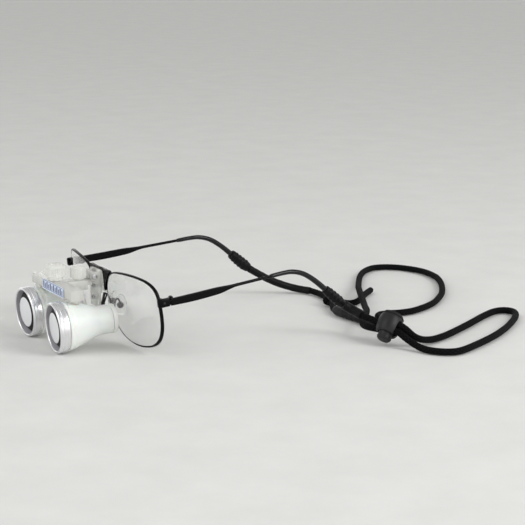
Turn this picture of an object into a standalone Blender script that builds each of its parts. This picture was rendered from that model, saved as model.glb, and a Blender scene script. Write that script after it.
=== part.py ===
"""Dental loupes: a wire spectacle frame, a flip-up pair of telescopes and a corded head strap.

Metres, +Z up. +X is the wearer's left and the front faces -Y. The loupes stand as they are laid
down on a table: on the telescopes' front rings, the rims and the strap's cord lock.
"""
import math

import bmesh
import bpy
import numpy as np
from mathutils import Matrix, Vector

MM = 0.001
GAP = 0.3 * MM                      # clearance between pieces that touch
SIDES = (("left", 1), ("right", -1))

# ---- spectacle front ----
FRONT_PLANE_Y = -37.885 * MM          # where the hinge plane lies in the model's own frame
RIM_HALF_WIDTH = 0.5 * MM            # of the flattened wire, in the plane of the front
RIM_HALF_DEPTH = 0.9 * MM
LENS_THICKNESS = 2.0 * MM
BASE_CURVE = 130 * MM               # radius that the lenses are bent to
NOSE_X, NOSE_Y, NOSE_Z = 10.4 * MM, -7.6 * MM, 41.2 * MM
FRONT_WRAP = 0.13                   # the front's lean back towards the temples
FRONT_TILT = 0.18                   # the front's lean back towards its lower edge
BOW_AT_RIM = 3.6 * MM
BRIDGE_Y, BRIDGE_Z, BRIDGE_WIRE = -7.3 * MM, 42.0 * MM, 1.0 * MM

# Half-outline of one lens opening, as (distance from the middle, height) in millimetres.
RIM_OUTLINE = (
    (8.3, 25.0), (9.4, 30.1), (11.6, 35.3), (14.4, 39.6), (18.8, 42.6), (26.5, 44.3),
    (38.0, 45.2), (49.0, 45.0), (58.0, 43.6), (64.0, 40.3), (66.6, 35.6), (67.3, 30.0),
    (67.2, 23.5), (65.7, 16.8), (62.2, 10.8), (56.4, 6.3), (48.0, 3.6), (38.9, 2.7),
    (30.0, 3.6), (22.0, 6.2), (15.2, 11.0), (10.6, 16.8), (8.7, 20.8),
)

# ---- temples, in each hinge's own frame: X outwards, Y along the temple ----
HINGE_X, HINGE_Y, HINGE_Z = 68.3 * MM, 7.6 * MM, 34.4 * MM
HINGE_LEAN = math.radians(6.4)      # the temples rise towards their bends
PIN_RADIUS = 0.55 * MM
KNUCKLE_RADIUS = 1.5 * MM
RUNNING = 0.05 * MM                 # radial clearance of a turning pin
TIP_BORE = 0.85 * MM
GRIP_BORE = 2.1 * MM

# ---- bracket and flip hinge ----
FLIP_Y, FLIP_Z = -13.6 * MM, 38.8 * MM
FLIP_PIN = 1.0 * MM
ARM_SCREW_Y = -21.5 * MM
PINION_Y = -35.6 * MM
BAR_LOW, BAR_HIGH = 31.0 * MM, 37.2 * MM
RELEASE_Y, RELEASE_Z = -6.5 * MM, 20.4 * MM

# ---- telescopes, about each optical axis: Z forward from the front ring's face ----
BARREL_X, BARREL_Y, BARREL_Z = 24.0 * MM, -47.1 * MM, 14.8 * MM
CONVERGE = math.radians(2.8)
DECLINE = math.radians(4.4)
RING_RADIUS = 15.0 * MM

# ---- head strap ----
CORD_RADIUS = 2.0 * MM
SLEEVE_RADIUS = {"left": 2.9 * MM, "right": 2.4 * MM, "lower": 2.9 * MM}
CORD_STEP = 12.0 * MM
LOCK_CENTRE = Vector((93.1, 137.3, 11.5)) * MM
LOCK_HEADING = math.radians(25.0)   # where the cord passes through the lock
LOCK_DIP = math.radians(49.7)       # how far the lock's button points down
STRAND_OFFSET = 2.15 * MM           # from the middle of the lock's hole to each strand
KNOT_CENTRE = Vector((-13.0, 158.0, 4.1)) * MM
KNOT_HEADING = math.radians(-24.0)

for old in list(bpy.data.objects):
    bpy.data.objects.remove(old, do_unlink=True)

PARTS = bpy.data.collections.new("dental_loupes")
CUTTERS = bpy.data.collections.new("cutters")
bpy.context.scene.collection.children.link(PARTS)
bpy.context.scene.collection.children.link(CUTTERS)


# ------------------------------------------------------------------ materials
def material(name, colour, roughness, metallic=0.0, alpha=1.0):
    made = bpy.data.materials.new(name)
    made.use_nodes = True
    shader = made.node_tree.nodes["Principled BSDF"]
    shader.inputs["Base Color"].default_value = (*colour, 1.0)
    shader.inputs["Roughness"].default_value = roughness
    shader.inputs["Metallic"].default_value = metallic
    shader.inputs["Alpha"].default_value = alpha
    return made


BLACK_METAL = material("black_metal", (0.015, 0.015, 0.018), 0.35, 0.8)
DARK_SCREW = material("dark_screw", (0.05, 0.05, 0.055), 0.35, 1.0)
SPECTACLE_LENS = material("spectacle_lens", (0.92, 0.93, 0.92), 0.03, 0.0, 0.12)
SMOKED_TIP = material("smoked_tip", (0.25, 0.26, 0.26), 0.15, 0.0, 0.55)
SILICONE = material("silicone", (0.80, 0.80, 0.78), 0.35, 0.0, 0.5)
CLEAR_PLASTIC = material("clear_plastic", (0.86, 0.88, 0.84), 0.12, 0.0, 0.5)
IVORY_SHELL = material("ivory_shell", (0.80, 0.82, 0.77), 0.35)
SATIN_SILVER = material("satin_silver", (0.74, 0.74, 0.76), 0.25, 1.0)
BAFFLE_BLACK = material("baffle_black", (0.01, 0.01, 0.012), 0.7)
COATED_GLASS = material("coated_glass", (0.70, 0.72, 0.76), 0.02, 0.0, 0.3)
BLUE_SCALE = material("blue_scale", (0.45, 0.62, 0.85), 0.5)
STEEL = material("steel", (0.55, 0.55, 0.56), 0.3, 1.0)
BLACK_PLASTIC = material("black_plastic", (0.02, 0.02, 0.022), 0.45)
BLACK_RUBBER = material("black_rubber", (0.018, 0.018, 0.018), 0.7)
BLACK_CORD = material("black_cord", (0.012, 0.012, 0.014), 0.9)


# ------------------------------------------------------------------ placing
def empty(name, location, rotation=None, parent=None):
    made = bpy.data.objects.new(name, None)
    made.location = location
    if rotation is not None:
        made.rotation_euler = rotation.to_euler()
    made.parent = parent
    PARTS.objects.link(made)
    return made


def place(name, data, finish, parent, location=(0, 0, 0), rotation=None):
    made = bpy.data.objects.new(name, data)
    made.location = location
    if rotation is not None:
        made.rotation_euler = rotation.to_euler()
    made.parent = parent
    made.data.materials.append(finish)
    PARTS.objects.link(made)
    return made


def make_cutter(tool):
    tool.hide_render = True
    tool.display_type = 'WIRE'
    for home in list(tool.users_collection):
        home.objects.unlink(tool)
    CUTTERS.objects.link(tool)


def combine(target, tool, operation):
    """Joins a tool to the target or cuts it away; the tool itself is left out of the model."""
    step = target.modifiers.new(operation.lower() + "_" + tool.name, 'BOOLEAN')
    step.operation = operation
    step.solver = 'EXACT'
    step.object = tool
    make_cutter(tool)


def mesh_from(name, mould):
    data = bpy.data.meshes.new(name)
    mould.to_mesh(data)
    mould.free()
    return data


def turn_to(direction, up):
    """The rotation that carries +Z to a direction and keeps +Y as near as it can to up."""
    z_axis = Vector(direction).normalized()
    x_axis = Vector(up).cross(z_axis).normalized()
    y_axis = z_axis.cross(x_axis)
    return Matrix((x_axis, y_axis, z_axis)).transposed()


ALONG_X = turn_to((1, 0, 0), (0, 0, 1))
ALONG_Y = turn_to((0, 1, 0), (0, 0, 1))


# ------------------------------------------------------------------ shapes
def block(name, low, high, finish, parent, bevel=0.0):
    """A box between two corners given in millimetres."""
    low, high = Vector(low) * MM, Vector(high) * MM
    mould = bmesh.new()
    bmesh.ops.create_cube(mould, size=1.0)
    bmesh.ops.scale(mould, vec=high - low, verts=mould.verts)
    made = place(name, mesh_from(name, mould), finish, parent, (low + high) / 2)
    if bevel:
        rounding = made.modifiers.new("rounding", 'BEVEL')
        rounding.width = bevel * MM
        rounding.segments = 2
    return made


def rod(name, radius, length, centre, finish, parent, rotation=None, sides=20):
    """A cylinder on its own Z axis, turned as asked."""
    mould = bmesh.new()
    bmesh.ops.create_cone(mould, cap_ends=True, segments=sides, radius1=radius, radius2=radius,
                          depth=length)
    made = place(name, mesh_from(name, mould), finish, parent, centre, rotation)
    made.data.shade_smooth()
    made.data.set_sharp_from_angle(angle=math.radians(40))
    return made


def turned(name, profile, finish, parent, location=(0, 0, 0), rotation=None, sides=20, closed=False):
    """A profile of (radius, height) in millimetres, outer side from top to bottom, spun about Z."""
    mould = bmesh.new()
    ring = [mould.verts.new((radius * MM, 0, height * MM)) for radius, height in profile]
    for first, second in zip(ring, ring[1:]):
        mould.edges.new((first, second))
    if closed:
        mould.edges.new((ring[-1], ring[0]))
    made = place(name, mesh_from(name, mould), finish, parent, location, rotation)
    spin = made.modifiers.new("spin", 'SCREW')
    spin.steps = sides
    spin.render_steps = sides
    spin.use_merge_vertices = True
    spin.merge_threshold = 0.00001
    spin.use_smooth_shade = True
    return made


def smooth_path(points, step, closed=False):
    """Evenly spaced points on a smooth curve through the given ones (extra columns ride along)."""
    knots = np.array(points, dtype=float)
    if closed:
        knots = np.vstack([knots[-1], knots, knots[:2]])
    else:
        knots = np.vstack([2 * knots[0] - knots[1], knots, 2 * knots[-1] - knots[-2]])
    fine = []
    for before, start, end, after in zip(knots, knots[1:], knots[2:], knots[3:]):
        for t in np.linspace(0, 1, 24, endpoint=False):
            fine.append(0.5 * (2 * start + (end - before) * t
                               + (2 * before - 5 * start + 4 * end - after) * t ** 2
                               + (3 * start - before - 3 * end + after) * t ** 3))
    if closed:
        fine.append(fine[0])
    else:
        fine.append(knots[-2])
    fine = np.array(fine)
    along = np.concatenate([[0], np.cumsum(np.linalg.norm(np.diff(fine[:, :3], axis=0), axis=1))])
    count = max(2, int(round(along[-1] / step)))
    stations = np.linspace(0, along[-1], count + 1)
    even = np.column_stack([np.interp(stations, along, column) for column in fine.T])
    return even[:-1] if closed else even


def tube(name, points, radius, finish, parent, closed=False, fineness=2):
    """A round wire or cord through the points, in metres."""
    curve = bpy.data.curves.new(name, 'CURVE')
    curve.dimensions = '3D'
    curve.bevel_depth = radius
    curve.bevel_resolution = fineness
    curve.use_fill_caps = not closed
    spline = curve.splines.new('POLY')
    spline.points.add(len(points) - 1)
    for knot, point in zip(spline.points, points):
        knot.co = (*point[:3], 1.0)
    spline.use_cyclic_u = closed
    spline.use_smooth = True
    return place(name, curve, finish, parent)


def slab(name, outlines, thickness, finish, parent, location=(0, 0, 0), rotation=None):
    """Flat outlines in millimetres, filled and given a thickness; an inner outline is a hole."""
    curve = bpy.data.curves.new(name, 'CURVE')
    curve.dimensions = '2D'
    curve.fill_mode = 'BOTH'
    curve.extrude = thickness * MM / 2
    for outline in outlines:
        spline = curve.splines.new('POLY')
        spline.points.add(len(outline) - 1)
        for knot, (across, up) in zip(spline.points, outline):
            knot.co = (across * MM, up * MM, 0, 1.0)
        spline.use_cyclic_u = True
    holder = bpy.data.objects.new(name, curve)
    PARTS.objects.link(holder)
    flat = bpy.data.meshes.new_from_object(holder.evaluated_get(bpy.context.evaluated_depsgraph_get()))
    bpy.data.objects.remove(holder, do_unlink=True)
    mould = bmesh.new()
    mould.from_mesh(flat)
    bmesh.ops.remove_doubles(mould, verts=mould.verts, dist=0.00001)
    bmesh.ops.recalc_face_normals(mould, faces=mould.faces)
    data = mesh_from(name, mould)
    return place(name, data, finish, parent, location, rotation)


def oval(width, height, count=20, middle=(0, 0)):
    """A slot-shaped outline: straight sides with half-round ends, taller than it is wide."""
    radius = width / 2
    rise = height / 2 - radius
    points = []
    for index in range(count):
        angle = 2 * math.pi * index / count
        lift = rise if math.sin(angle) >= 0 else -rise
        points.append((middle[0] + radius * math.cos(angle), middle[1] + radius * math.sin(angle) + lift))
    return points


def ring_at(mould, centre, across, upward, half_width, half_height, power, sides=10):
    """One section of a loft: an ellipse at power 2, nearer a rectangle as the power grows."""
    ring = []
    for index in range(sides):
        angle = 2 * math.pi * (index + 0.5) / sides
        cosine, sine = math.cos(angle), math.sin(angle)
        wide = math.copysign(abs(cosine) ** (2 / power), cosine) * half_width
        high = math.copysign(abs(sine) ** (2 / power), sine) * half_height
        ring.append(mould.verts.new(centre + across * wide + upward * high))
    return ring


def skin(mould, rings):
    """Quads between each section and the next."""
    for near, far in zip(rings, rings[1:]):
        for index in range(len(near)):
            beside = (index + 1) % len(near)
            mould.faces.new((near[index], near[beside], far[beside], far[index]))


def section_axes(path, index):
    """Directions across and above a path that runs roughly back along Y."""
    before = Vector(path[max(index - 1, 0)][:3])
    after = Vector(path[min(index + 1, len(path) - 1)][:3])
    forward = (after - before).normalized()
    upward = Vector((1, 0, 0)).cross(forward).normalized()
    across = forward.cross(upward)
    return across, upward


def loft(name, stations, finish, parent):
    """A solid through sections (x, y, z, half width, half height, power) in metres."""
    mould = bmesh.new()
    rings = []
    for index, station in enumerate(stations):
        across, upward = section_axes(stations, index)
        rings.append(ring_at(mould, Vector(station[:3]), across, upward, *station[3:6]))
    skin(mould, rings)
    mould.faces.new(reversed(rings[0]))
    mould.faces.new(rings[-1])
    bmesh.ops.recalc_face_normals(mould, faces=mould.faces)
    made = place(name, mesh_from(name, mould), finish, parent)
    made.data.shade_smooth()
    made.data.set_sharp_from_angle(angle=math.radians(50))
    return made


def sheath(name, path, bore, finish, parent, blind=0):
    """A bored tube: points (x, y, z, outer radius); its last sections can be left unbored."""
    mould = bmesh.new()
    outer, inner = [], []
    for index, station in enumerate(path):
        across, upward = section_axes(path, index)
        centre = Vector(station[:3])
        outer.append(ring_at(mould, centre, across, upward, station[3], station[3], 2))
        if index < len(path) - blind:
            inner.append(ring_at(mould, centre, across, upward, bore, bore, 2))
    skin(mould, outer)
    skin(mould, inner)
    skin(mould, [outer[0], inner[0]])
    if blind:
        mould.faces.new(outer[-1])
        mould.faces.new(inner[-1])
    else:
        skin(mould, [outer[-1], inner[-1]])
    bmesh.ops.recalc_face_normals(mould, faces=mould.faces)
    made = place(name, mesh_from(name, mould), finish, parent)
    made.data.shade_smooth()
    made.data.set_sharp_from_angle(angle=math.radians(50))
    return made


# ------------------------------------------------------------------ spectacle front
def front_y(across, height):
    """How far back the wrapped, tilted and bowed front lies, by distance from the middle."""
    middle_x, middle_z = 37.5 * MM, 23.0 * MM
    wrap = FRONT_WRAP * (across - NOSE_X)
    tilt = FRONT_TILT * (NOSE_Z - height)
    bow = ((across - middle_x) ** 2 + (height - middle_z) ** 2) / (2 * BASE_CURVE) - BOW_AT_RIM
    return NOSE_Y + wrap + tilt + bow


def rim_path(count=32):
    flat = smooth_path([(across * MM, height * MM, 0) for across, height in RIM_OUTLINE],
                       0.1 * MM, closed=True)
    picked = flat[np.linspace(0, len(flat), count, endpoint=False).astype(int)]
    return picked[:, :2]


def make_rim(side, sign, parent):
    """A flattened wire, deeper from front to back than it is wide: an oval swept round the opening."""
    section = bpy.data.curves.new("rim_section_" + side, 'CURVE')
    section.dimensions = '2D'
    edge = section.splines.new('POLY')
    edge.points.add(11)
    for index, knot in enumerate(edge.points):
        angle = -2 * math.pi * (index + 0.5) / 12
        knot.co = (RIM_HALF_WIDTH * math.cos(angle), RIM_HALF_DEPTH * math.sin(angle), 0, 1.0)
    edge.use_cyclic_u = True
    swept = bpy.data.objects.new("rim_section_" + side, section)
    make_cutter(swept)
    points = [(sign * across, height, -front_y(across, height)) for across, height in rim_path(40)]
    rim = tube("rim_" + side, points, 0, BLACK_METAL, parent, closed=True)
    rim.rotation_euler = (math.radians(90), 0, 0)
    rim.data.twist_mode = 'Z_UP'
    rim.data.bevel_mode = 'OBJECT'
    rim.data.bevel_object = swept


def make_lens(side, sign, parent):
    """A bent sheet inside the rim: rings of points that shrink towards the middle."""
    outline = rim_path(24)
    middle = outline.mean(axis=0)
    reach = np.linalg.norm(outline - middle, axis=1)
    inset = (reach - RIM_HALF_WIDTH - GAP - 0.1 * MM) / reach
    mould = bmesh.new()
    rings = []
    for share in (1.0, 0.72, 0.4):
        flat = middle + (outline - middle) * (inset * share)[:, None]
        rings.append([mould.verts.new((sign * x, front_y(x, z), z)) for x, z in flat])
    skin(mould, rings)
    hub = mould.verts.new((sign * middle[0], front_y(*middle), middle[1]))
    for index in range(len(outline)):
        mould.faces.new((rings[-1][index], rings[-1][(index + 1) % len(outline)], hub))
    bmesh.ops.recalc_face_normals(mould, faces=mould.faces)
    made = place("lens_" + side, mesh_from("lens_" + side, mould), SPECTACLE_LENS, parent)
    sheet = made.modifiers.new("thickness", 'SOLIDIFY')
    sheet.thickness = LENS_THICKNESS
    sheet.offset = 0
    made.data.shade_smooth()


def make_bridge(parent):
    """The bar between the rims with a tapered shoulder down each rim's inner side."""
    shoulder = [(4.4, 42.9), (13.6, 43.3), (15.6, 42.7), (13.2, 40.0), (10.5, 36.0), (8.9, 32.6), (8.5, 30.6),
                (7.5, 31.2), (6.6, 35.4), (5.4, 39.8)]
    bar = rod("bridge", BRIDGE_WIRE, 10.0 * MM, (0, BRIDGE_Y, BRIDGE_Z), BLACK_METAL, parent, ALONG_X, 12)
    for side, sign in SIDES:
        outline = [(sign * across, height) for across, height in shoulder]
        plate = slab("shoulder_" + side, [outline], 1.7, BLACK_METAL, parent, (0, BRIDGE_Y, 0),
                     Matrix.Rotation(math.radians(90), 3, 'X'))
        combine(bar, plate, 'UNION')


def make_nose_pads(side, sign, parent):
    """A wire arm off the rim's inner side, and the pad that swivels on it."""
    arm = [(9.6, -2.1, 17.4), (8.6, -1.3, 20.5), (8.0, -0.4, 23.6), (7.9, 0.6, 24.8), (8.2, 1.6, 23.8),
           (8.6, 2.4, 21.6)]
    route = smooth_path([(sign * x * MM, y * MM, z * MM) for x, y, z in arm], 1.5 * MM)
    tube("pad_arm_" + side, route, 0.5 * MM, BLACK_METAL, parent)
    pivot = empty("pad_pivot_" + side, (sign * 7.0 * MM, 2.7 * MM, 20.4 * MM),
                  Matrix.Rotation(sign * math.radians(-32), 3, 'Z'), parent)
    mould = bmesh.new()
    bmesh.ops.create_uvsphere(mould, u_segments=12, v_segments=7, radius=1.0)
    bmesh.ops.scale(mould, vec=Vector((1.1, 3.7, 6.4)) * MM, verts=mould.verts)
    pad = place("nose_pad_" + side, mesh_from("nose_pad_" + side, mould), SILICONE, pivot,
                (sign * -1.85 * MM, 0, 0))
    pad.data.shade_smooth()


# ------------------------------------------------------------------ temples
def make_end_piece(side, sign, hinge):
    """The block at the rim's outer side, with the two outer knuckles of the temple hinge."""
    corners = sorted((sign * 0.55, sign * 3.5))
    end = block("end_piece_" + side, (corners[0], -9.0, -2.5), (corners[1], -1.6, 2.5), BLACK_METAL,
                hinge, 0.9)
    leaf_sides = sorted((sign * 0.0, sign * 1.4))
    for level, (low, high) in enumerate(((-2.1, -0.95), (0.95, 2.1))):
        leaf = block(f"end_leaf_{side}_{level}", (leaf_sides[0], -3.0, low), (leaf_sides[1], 0.0, high),
                     BLACK_METAL, hinge)
        combine(end, leaf, 'UNION')
        ear = rod(f"end_ear_{side}_{level}", KNUCKLE_RADIUS, (high - low) * MM,
                  (0, 0, (low + high) / 2 * MM), BLACK_METAL, hinge, sides=16)
        combine(end, ear, 'UNION')
    hole = rod("end_hole_" + side, PIN_RADIUS + RUNNING, 8 * MM, (0, 0, 0), BLACK_METAL, hinge, sides=16)
    combine(end, hole, 'DIFFERENCE')
    turned("hinge_screw_" + side, [(0, 2.75), (0.8, 2.7), (1.0, 2.55), (1.0, 2.45), (0.55, 2.4), (0.55, -2.4),
                                   (0, -2.4)], DARK_SCREW, hinge, sides=16)


TEMPLE_STATIONS = (
    # x outwards, y back, z up, half width, half height, power
    (2.5, -1.1, -0.2, 0.70, 2.10, 6), (2.4, 1.0, -0.3, 0.70, 2.15, 6), (1.4, 14.0, -0.6, 0.70, 2.30, 6),
    (0.3, 28.0, -0.5, 0.70, 2.15, 6), (-0.2, 33.0, -0.4, 0.75, 1.80, 5), (-0.6, 38.0, -0.1, 0.90, 1.20, 3),
    (-1.0, 42.5, 0.1, 0.95, 0.95, 2), (-2.7, 64.6, 0.1, 0.90, 0.90, 2), (-2.75, 65.1, 0.1, 0.50, 0.50, 2),
)
TIP_ROUTE = (
    # x outwards, y back, z up, outer radius
    (-2.8, 65.4, 0.1, 1.30), (-3.5, 74.5, 0.1, 1.35), (-4.0, 81.0, -0.6, 1.45), (-4.3, 88.0, -3.4, 1.55),
    (-4.6, 95.0, -8.9, 1.65), (-5.0, 103.0, -17.2, 1.75), (-5.2, 107.4, -22.0, 1.75),
)
GRIP_ROUTE = (
    (-4.95, 101.6, -15.7, 2.60), (-5.0, 103.0, -17.2, 2.75), (-5.1, 105.4, -19.8, 2.95),
    (-5.25, 108.2, -22.8, 3.10), (-5.4, 110.8, -25.4, 3.00), (-5.5, 112.6, -27.2, 2.60),
)


def outward(points, sign):
    """A table in millimetres, mirrored to its side and given in metres (powers stay as they are)."""
    table = np.array(points, dtype=float)
    table[:, 0] *= sign
    table[:, :min(5, table.shape[1])] *= MM
    return table


def make_temple(side, sign, hinge):
    """The flat bar with its knuckle, drawn out to the wire core that the plastic tip covers."""
    core = smooth_path(outward(TIP_ROUTE, sign)[:, :3], 5 * MM)[1:-1]
    wire = np.column_stack([core, np.full((len(core), 2), 0.50 * MM), np.full(len(core), 2.0)])
    temple = loft("temple_" + side, np.vstack([outward(TEMPLE_STATIONS, sign), wire]), BLACK_METAL, hinge)
    sides = sorted((sign * 0.0, sign * 2.5))
    leaf = block("temple_leaf_" + side, (sides[0], -0.9, -0.65), (sides[1], 1.3, 0.65), BLACK_METAL, hinge)
    combine(temple, leaf, 'UNION')
    knuckle = rod("temple_knuckle_" + side, KNUCKLE_RADIUS, 1.3 * MM, (0, 0, 0), BLACK_METAL, hinge, sides=16)
    combine(temple, knuckle, 'UNION')
    hole = rod("temple_hole_" + side, PIN_RADIUS + RUNNING, 4 * MM, (0, 0, 0), BLACK_METAL, hinge, sides=16)
    combine(temple, hole, 'DIFFERENCE')
    tip = smooth_path(outward(TIP_ROUTE, sign), 6.0 * MM)
    sheath("temple_tip_" + side, tip, TIP_BORE, SMOKED_TIP, hinge)
    grip = smooth_path(outward(GRIP_ROUTE, sign), 2.4 * MM)
    sheath("strap_grip_" + side, grip, GRIP_BORE, BLACK_RUBBER, hinge, blind=2)


# ------------------------------------------------------------------ bracket and flip hinge
def screw(name, start, length, parent, head=1.5, shank=0.8):
    """A slotless pan-head screw: head forward of its start, shank back along Y."""
    profile = [(0, 1.0), (head * 0.7, 0.9), (head, 0.45), (head, 0.0), (shank, -0.05), (shank, -length),
               (0, -length)]
    turned(name, profile, STEEL, parent, Vector(start) * MM, turn_to((0, -1, 0), (0, 0, 1)), sides=16)


def cut_hole(target, name, radius, centre, rotation, parent, length=30, sides=18):
    hole = rod(name, radius * MM, length * MM, Vector(centre) * MM, STEEL, parent, rotation, sides)
    combine(target, hole, 'DIFFERENCE')


def make_bracket(parent):
    """The clear block in front of the bridge, its back plate, two screws and the quick release."""
    bracket = block("bracket", (-6.0, -11.6, 20.0), (6.0, -9.5, 42.6), CLEAR_PLASTIC, parent, 0.4)
    thick = block("bracket_thick", (-5.6, -11.0, 28.4), (5.6, -8.6, 42.2), CLEAR_PLASTIC, parent)
    combine(bracket, thick, 'UNION')
    pocket = block("bracket_pocket", (-3.65, -14.0, 35.0), (3.65, -9.9, 46.0), CLEAR_PLASTIC, parent)
    for side, sign in SIDES:
        ends = sorted((sign * 3.2, sign * 5.8))
        web = block("bracket_web_" + side, (ends[0], -13.6, 34.4), (ends[1], -9.2, 41.4), CLEAR_PLASTIC,
                    parent)
        combine(bracket, web, 'UNION')
        ear = rod("bracket_ear_" + side, 2.75 * MM, 2.6 * MM, (sign * 4.6 * MM, FLIP_Y, FLIP_Z),
                  CLEAR_PLASTIC, parent, ALONG_X)
        combine(bracket, ear, 'UNION')
    combine(bracket, pocket, 'DIFFERENCE')
    pin_hole = rod("bracket_pin_hole", FLIP_PIN + RUNNING, 30 * MM, (0, FLIP_Y, FLIP_Z), STEEL, parent,
                   ALONG_X)
    combine(bracket, pin_hole, 'DIFFERENCE')
    cut_hole(bracket, "bracket_hole_upper", 1.1, (0, -10, 32.4), ALONG_Y, parent)
    cut_hole(bracket, "bracket_hole_lower", 1.1, (0, -10, 25.6), ALONG_Y, parent)
    plate = block("clamp_plate", (-4.6, -6.0, 28.6), (4.6, -4.6, 42.6), CLEAR_PLASTIC, parent, 0.3)
    cut_hole(plate, "plate_hole", 1.1, (0, -5, 32.4), ALONG_Y, parent)
    screw("bracket_screw_upper", (0, -11.9, 32.4), 7.9, parent)
    screw("bracket_screw_lower", (0, -11.9, 25.6), 4.0, parent)
    base = block("release_base", (-1.0, -9.2, 19.2), (1.0, -7.7, 27.5), BLACK_PLASTIC, parent, 0.2)
    cut_hole(base, "base_hole", 0.85, (0, -8, 25.6), ALONG_Y, parent)
    foot = block("base_foot", (-2.2, -9.1, 18.6), (2.2, -7.9, 20.6), BLACK_PLASTIC, parent)
    combine(base, foot, 'UNION')
    for side, sign in SIDES:
        ends = sorted((sign * 1.3, sign * 2.1))
        cheek = block("base_cheek_" + side, (ends[0], -8.5, 19.4), (ends[1], -5.6, 21.3), BLACK_PLASTIC, parent)
        combine(base, cheek, 'UNION')
    pin_hole = rod("base_pin_hole", 0.4 * MM + RUNNING, 9 * MM, (0, RELEASE_Y, RELEASE_Z), STEEL, parent,
                   ALONG_X, 16)
    combine(base, pin_hole, 'DIFFERENCE')
    turned("release_pin", [(0, 2.5), (0.4, 2.5), (0.4, -2.5), (0, -2.5)], STEEL, parent,
           (0, RELEASE_Y, RELEASE_Z), ALONG_X, sides=16)


def make_release_lever(parent):
    """A thumb lever that leans back off its base and is pressed forward to free the bracket."""
    pivot = empty("release_pivot", (0, RELEASE_Y, RELEASE_Z), Matrix.Rotation(math.radians(-13), 3, 'X'),
                  parent)
    lever = block("release_lever", (-1.0, -0.45, 0.2), (1.0, 0.45, 7.1), BLACK_PLASTIC, pivot, 0.15)
    hub = rod("lever_hub", 0.8 * MM, 2.0 * MM, (0, 0, 0), BLACK_PLASTIC, pivot, ALONG_X, 16)
    combine(lever, hub, 'UNION')
    thumb = block("lever_thumb", (-0.9, -0.2, 6.1), (0.9, 1.2, 7.2), BLACK_PLASTIC, pivot)
    combine(lever, thumb, 'UNION')
    hole = rod("lever_hole", 0.4 * MM + RUNNING, 6 * MM, (0, 0, 0), STEEL, pivot, ALONG_X, 16)
    combine(lever, hole, 'DIFFERENCE')


def make_flip_unit(parent):
    """The arm that turns about the flip pin, and the crossbar that it carries."""
    arm = block("flip_arm", (-5.2, -30.4, 31.2), (5.2, -17.2, 36.8), CLEAR_PLASTIC, parent, 0.6)
    side_view = [(-18.5, 33.4), (-14.6, 33.6), (-12.6, 36.9), (-13.0, 41.0), (-15.3, 40.5), (-15.7, 36.6),
                 (-18.5, 36.4)]
    neck = slab("flip_neck", [side_view], 6.3, CLEAR_PLASTIC, parent, rotation=ALONG_X)
    combine(arm, neck, 'UNION')
    knuckle = rod("flip_knuckle", 2.6 * MM, 6.6 * MM, (0, FLIP_Y, FLIP_Z), CLEAR_PLASTIC, parent, ALONG_X)
    combine(arm, knuckle, 'UNION')
    pin_hole = rod("arm_pin_hole", FLIP_PIN + RUNNING, 10 * MM, (0, FLIP_Y, FLIP_Z), STEEL, parent, ALONG_X)
    combine(arm, pin_hole, 'DIFFERENCE')
    cut_hole(arm, "arm_screw_hole", 1.55, (0, ARM_SCREW_Y / MM, 34), None, parent)
    turned("flip_pin", [(0, 6.9), (1.3, 6.8), (1.5, 6.4), (1.0, 6.3), (1.0, -6.6), (0, -6.6)], STEEL, parent,
           (0, FLIP_Y, FLIP_Z), ALONG_X, sides=18)
    knob = [(0, 45.3), (3.4, 45.1), (4.5, 44.4), (4.9, 43.2), (4.9, 38.6), (4.5, 38.0), (3.4, 37.9), (3.4, 37.2),
            (1.5, 37.15), (1.5, 29.4), (0, 29.4)]
    turned("arm_knob", knob, CLEAR_PLASTIC, parent, (0, ARM_SCREW_Y, 0))

    bar = block("crossbar", (-32.5, -38.7, BAR_LOW / MM), (32.5, -30.8, BAR_HIGH / MM), CLEAR_PLASTIC,
                parent, 0.5)
    pad = block("bar_pad", (-7.2, -38.2, 36.6), (7.2, -31.3, BAR_HIGH / MM + 0.3), CLEAR_PLASTIC, parent)
    combine(bar, pad, 'UNION')
    channel = block("bar_channel", (-31.4, -38.0, 30.0), (31.4, -33.2, 35.7), CLEAR_PLASTIC, parent)
    combine(bar, channel, 'DIFFERENCE')
    cut_hole(bar, "bar_stem_hole", 1.4, (0, PINION_Y / MM, 37), None, parent, 6)
    block("scale_plate", (-12.0, -39.4, 31.1), (21.5, -39.0, 37.1), BLUE_SCALE, parent)
    wheel = [(0, 47.6), (4.6, 47.4), (5.9, 46.7), (6.3, 45.6), (6.3, 41.0), (5.8, 40.2), (4.2, 40.0), (4.2, 37.9),
             (1.35, 37.8), (1.35, 35.4), (0.75, 35.3), (0.75, 31.6), (0, 31.6)]
    turned("pd_knob", wheel, CLEAR_PLASTIC, parent, (0, PINION_Y, 0))


# ------------------------------------------------------------------ telescopes
def make_slider(side, sign, parent, axis_frame):
    """The saddle on the barrel, its neck through the crossbar's slot, and its rack."""
    middle = sign * 24.0
    saddle = block("slider_" + side, (middle - 4.5, -38.3, 22.0), (middle + 4.5, -32.3, 30.6), CLEAR_PLASTIC,
                   parent)
    neck = block("slider_neck_" + side, (middle - 3.0, -37.6, 30.0), (middle + 3.0, -33.6, 35.2), CLEAR_PLASTIC,
                 parent)
    combine(saddle, neck, 'UNION')
    rack_y = (-37.6, -36.5) if sign > 0 else (-34.7, -33.6)
    rack_x = sorted((middle, -sign * 8.0))
    rack = block("slider_rack_" + side, (rack_x[0], rack_y[0], 31.8), (rack_x[1], rack_y[1], 34.8),
                 CLEAR_PLASTIC, parent)
    combine(saddle, rack, 'UNION')
    envelope = turned("barrel_envelope_" + side, [(0, 1.0), (15.4, 1.0), (15.4, -6.8), (14.9, -7.0), (14.9, -8.6),
                                                  (13.75, -12.7), (9.2, -25.7), (9.2, -40.0), (0, -40.0)],
                      IVORY_SHELL, axis_frame, sides=36)
    combine(saddle, envelope, 'DIFFERENCE')


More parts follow.
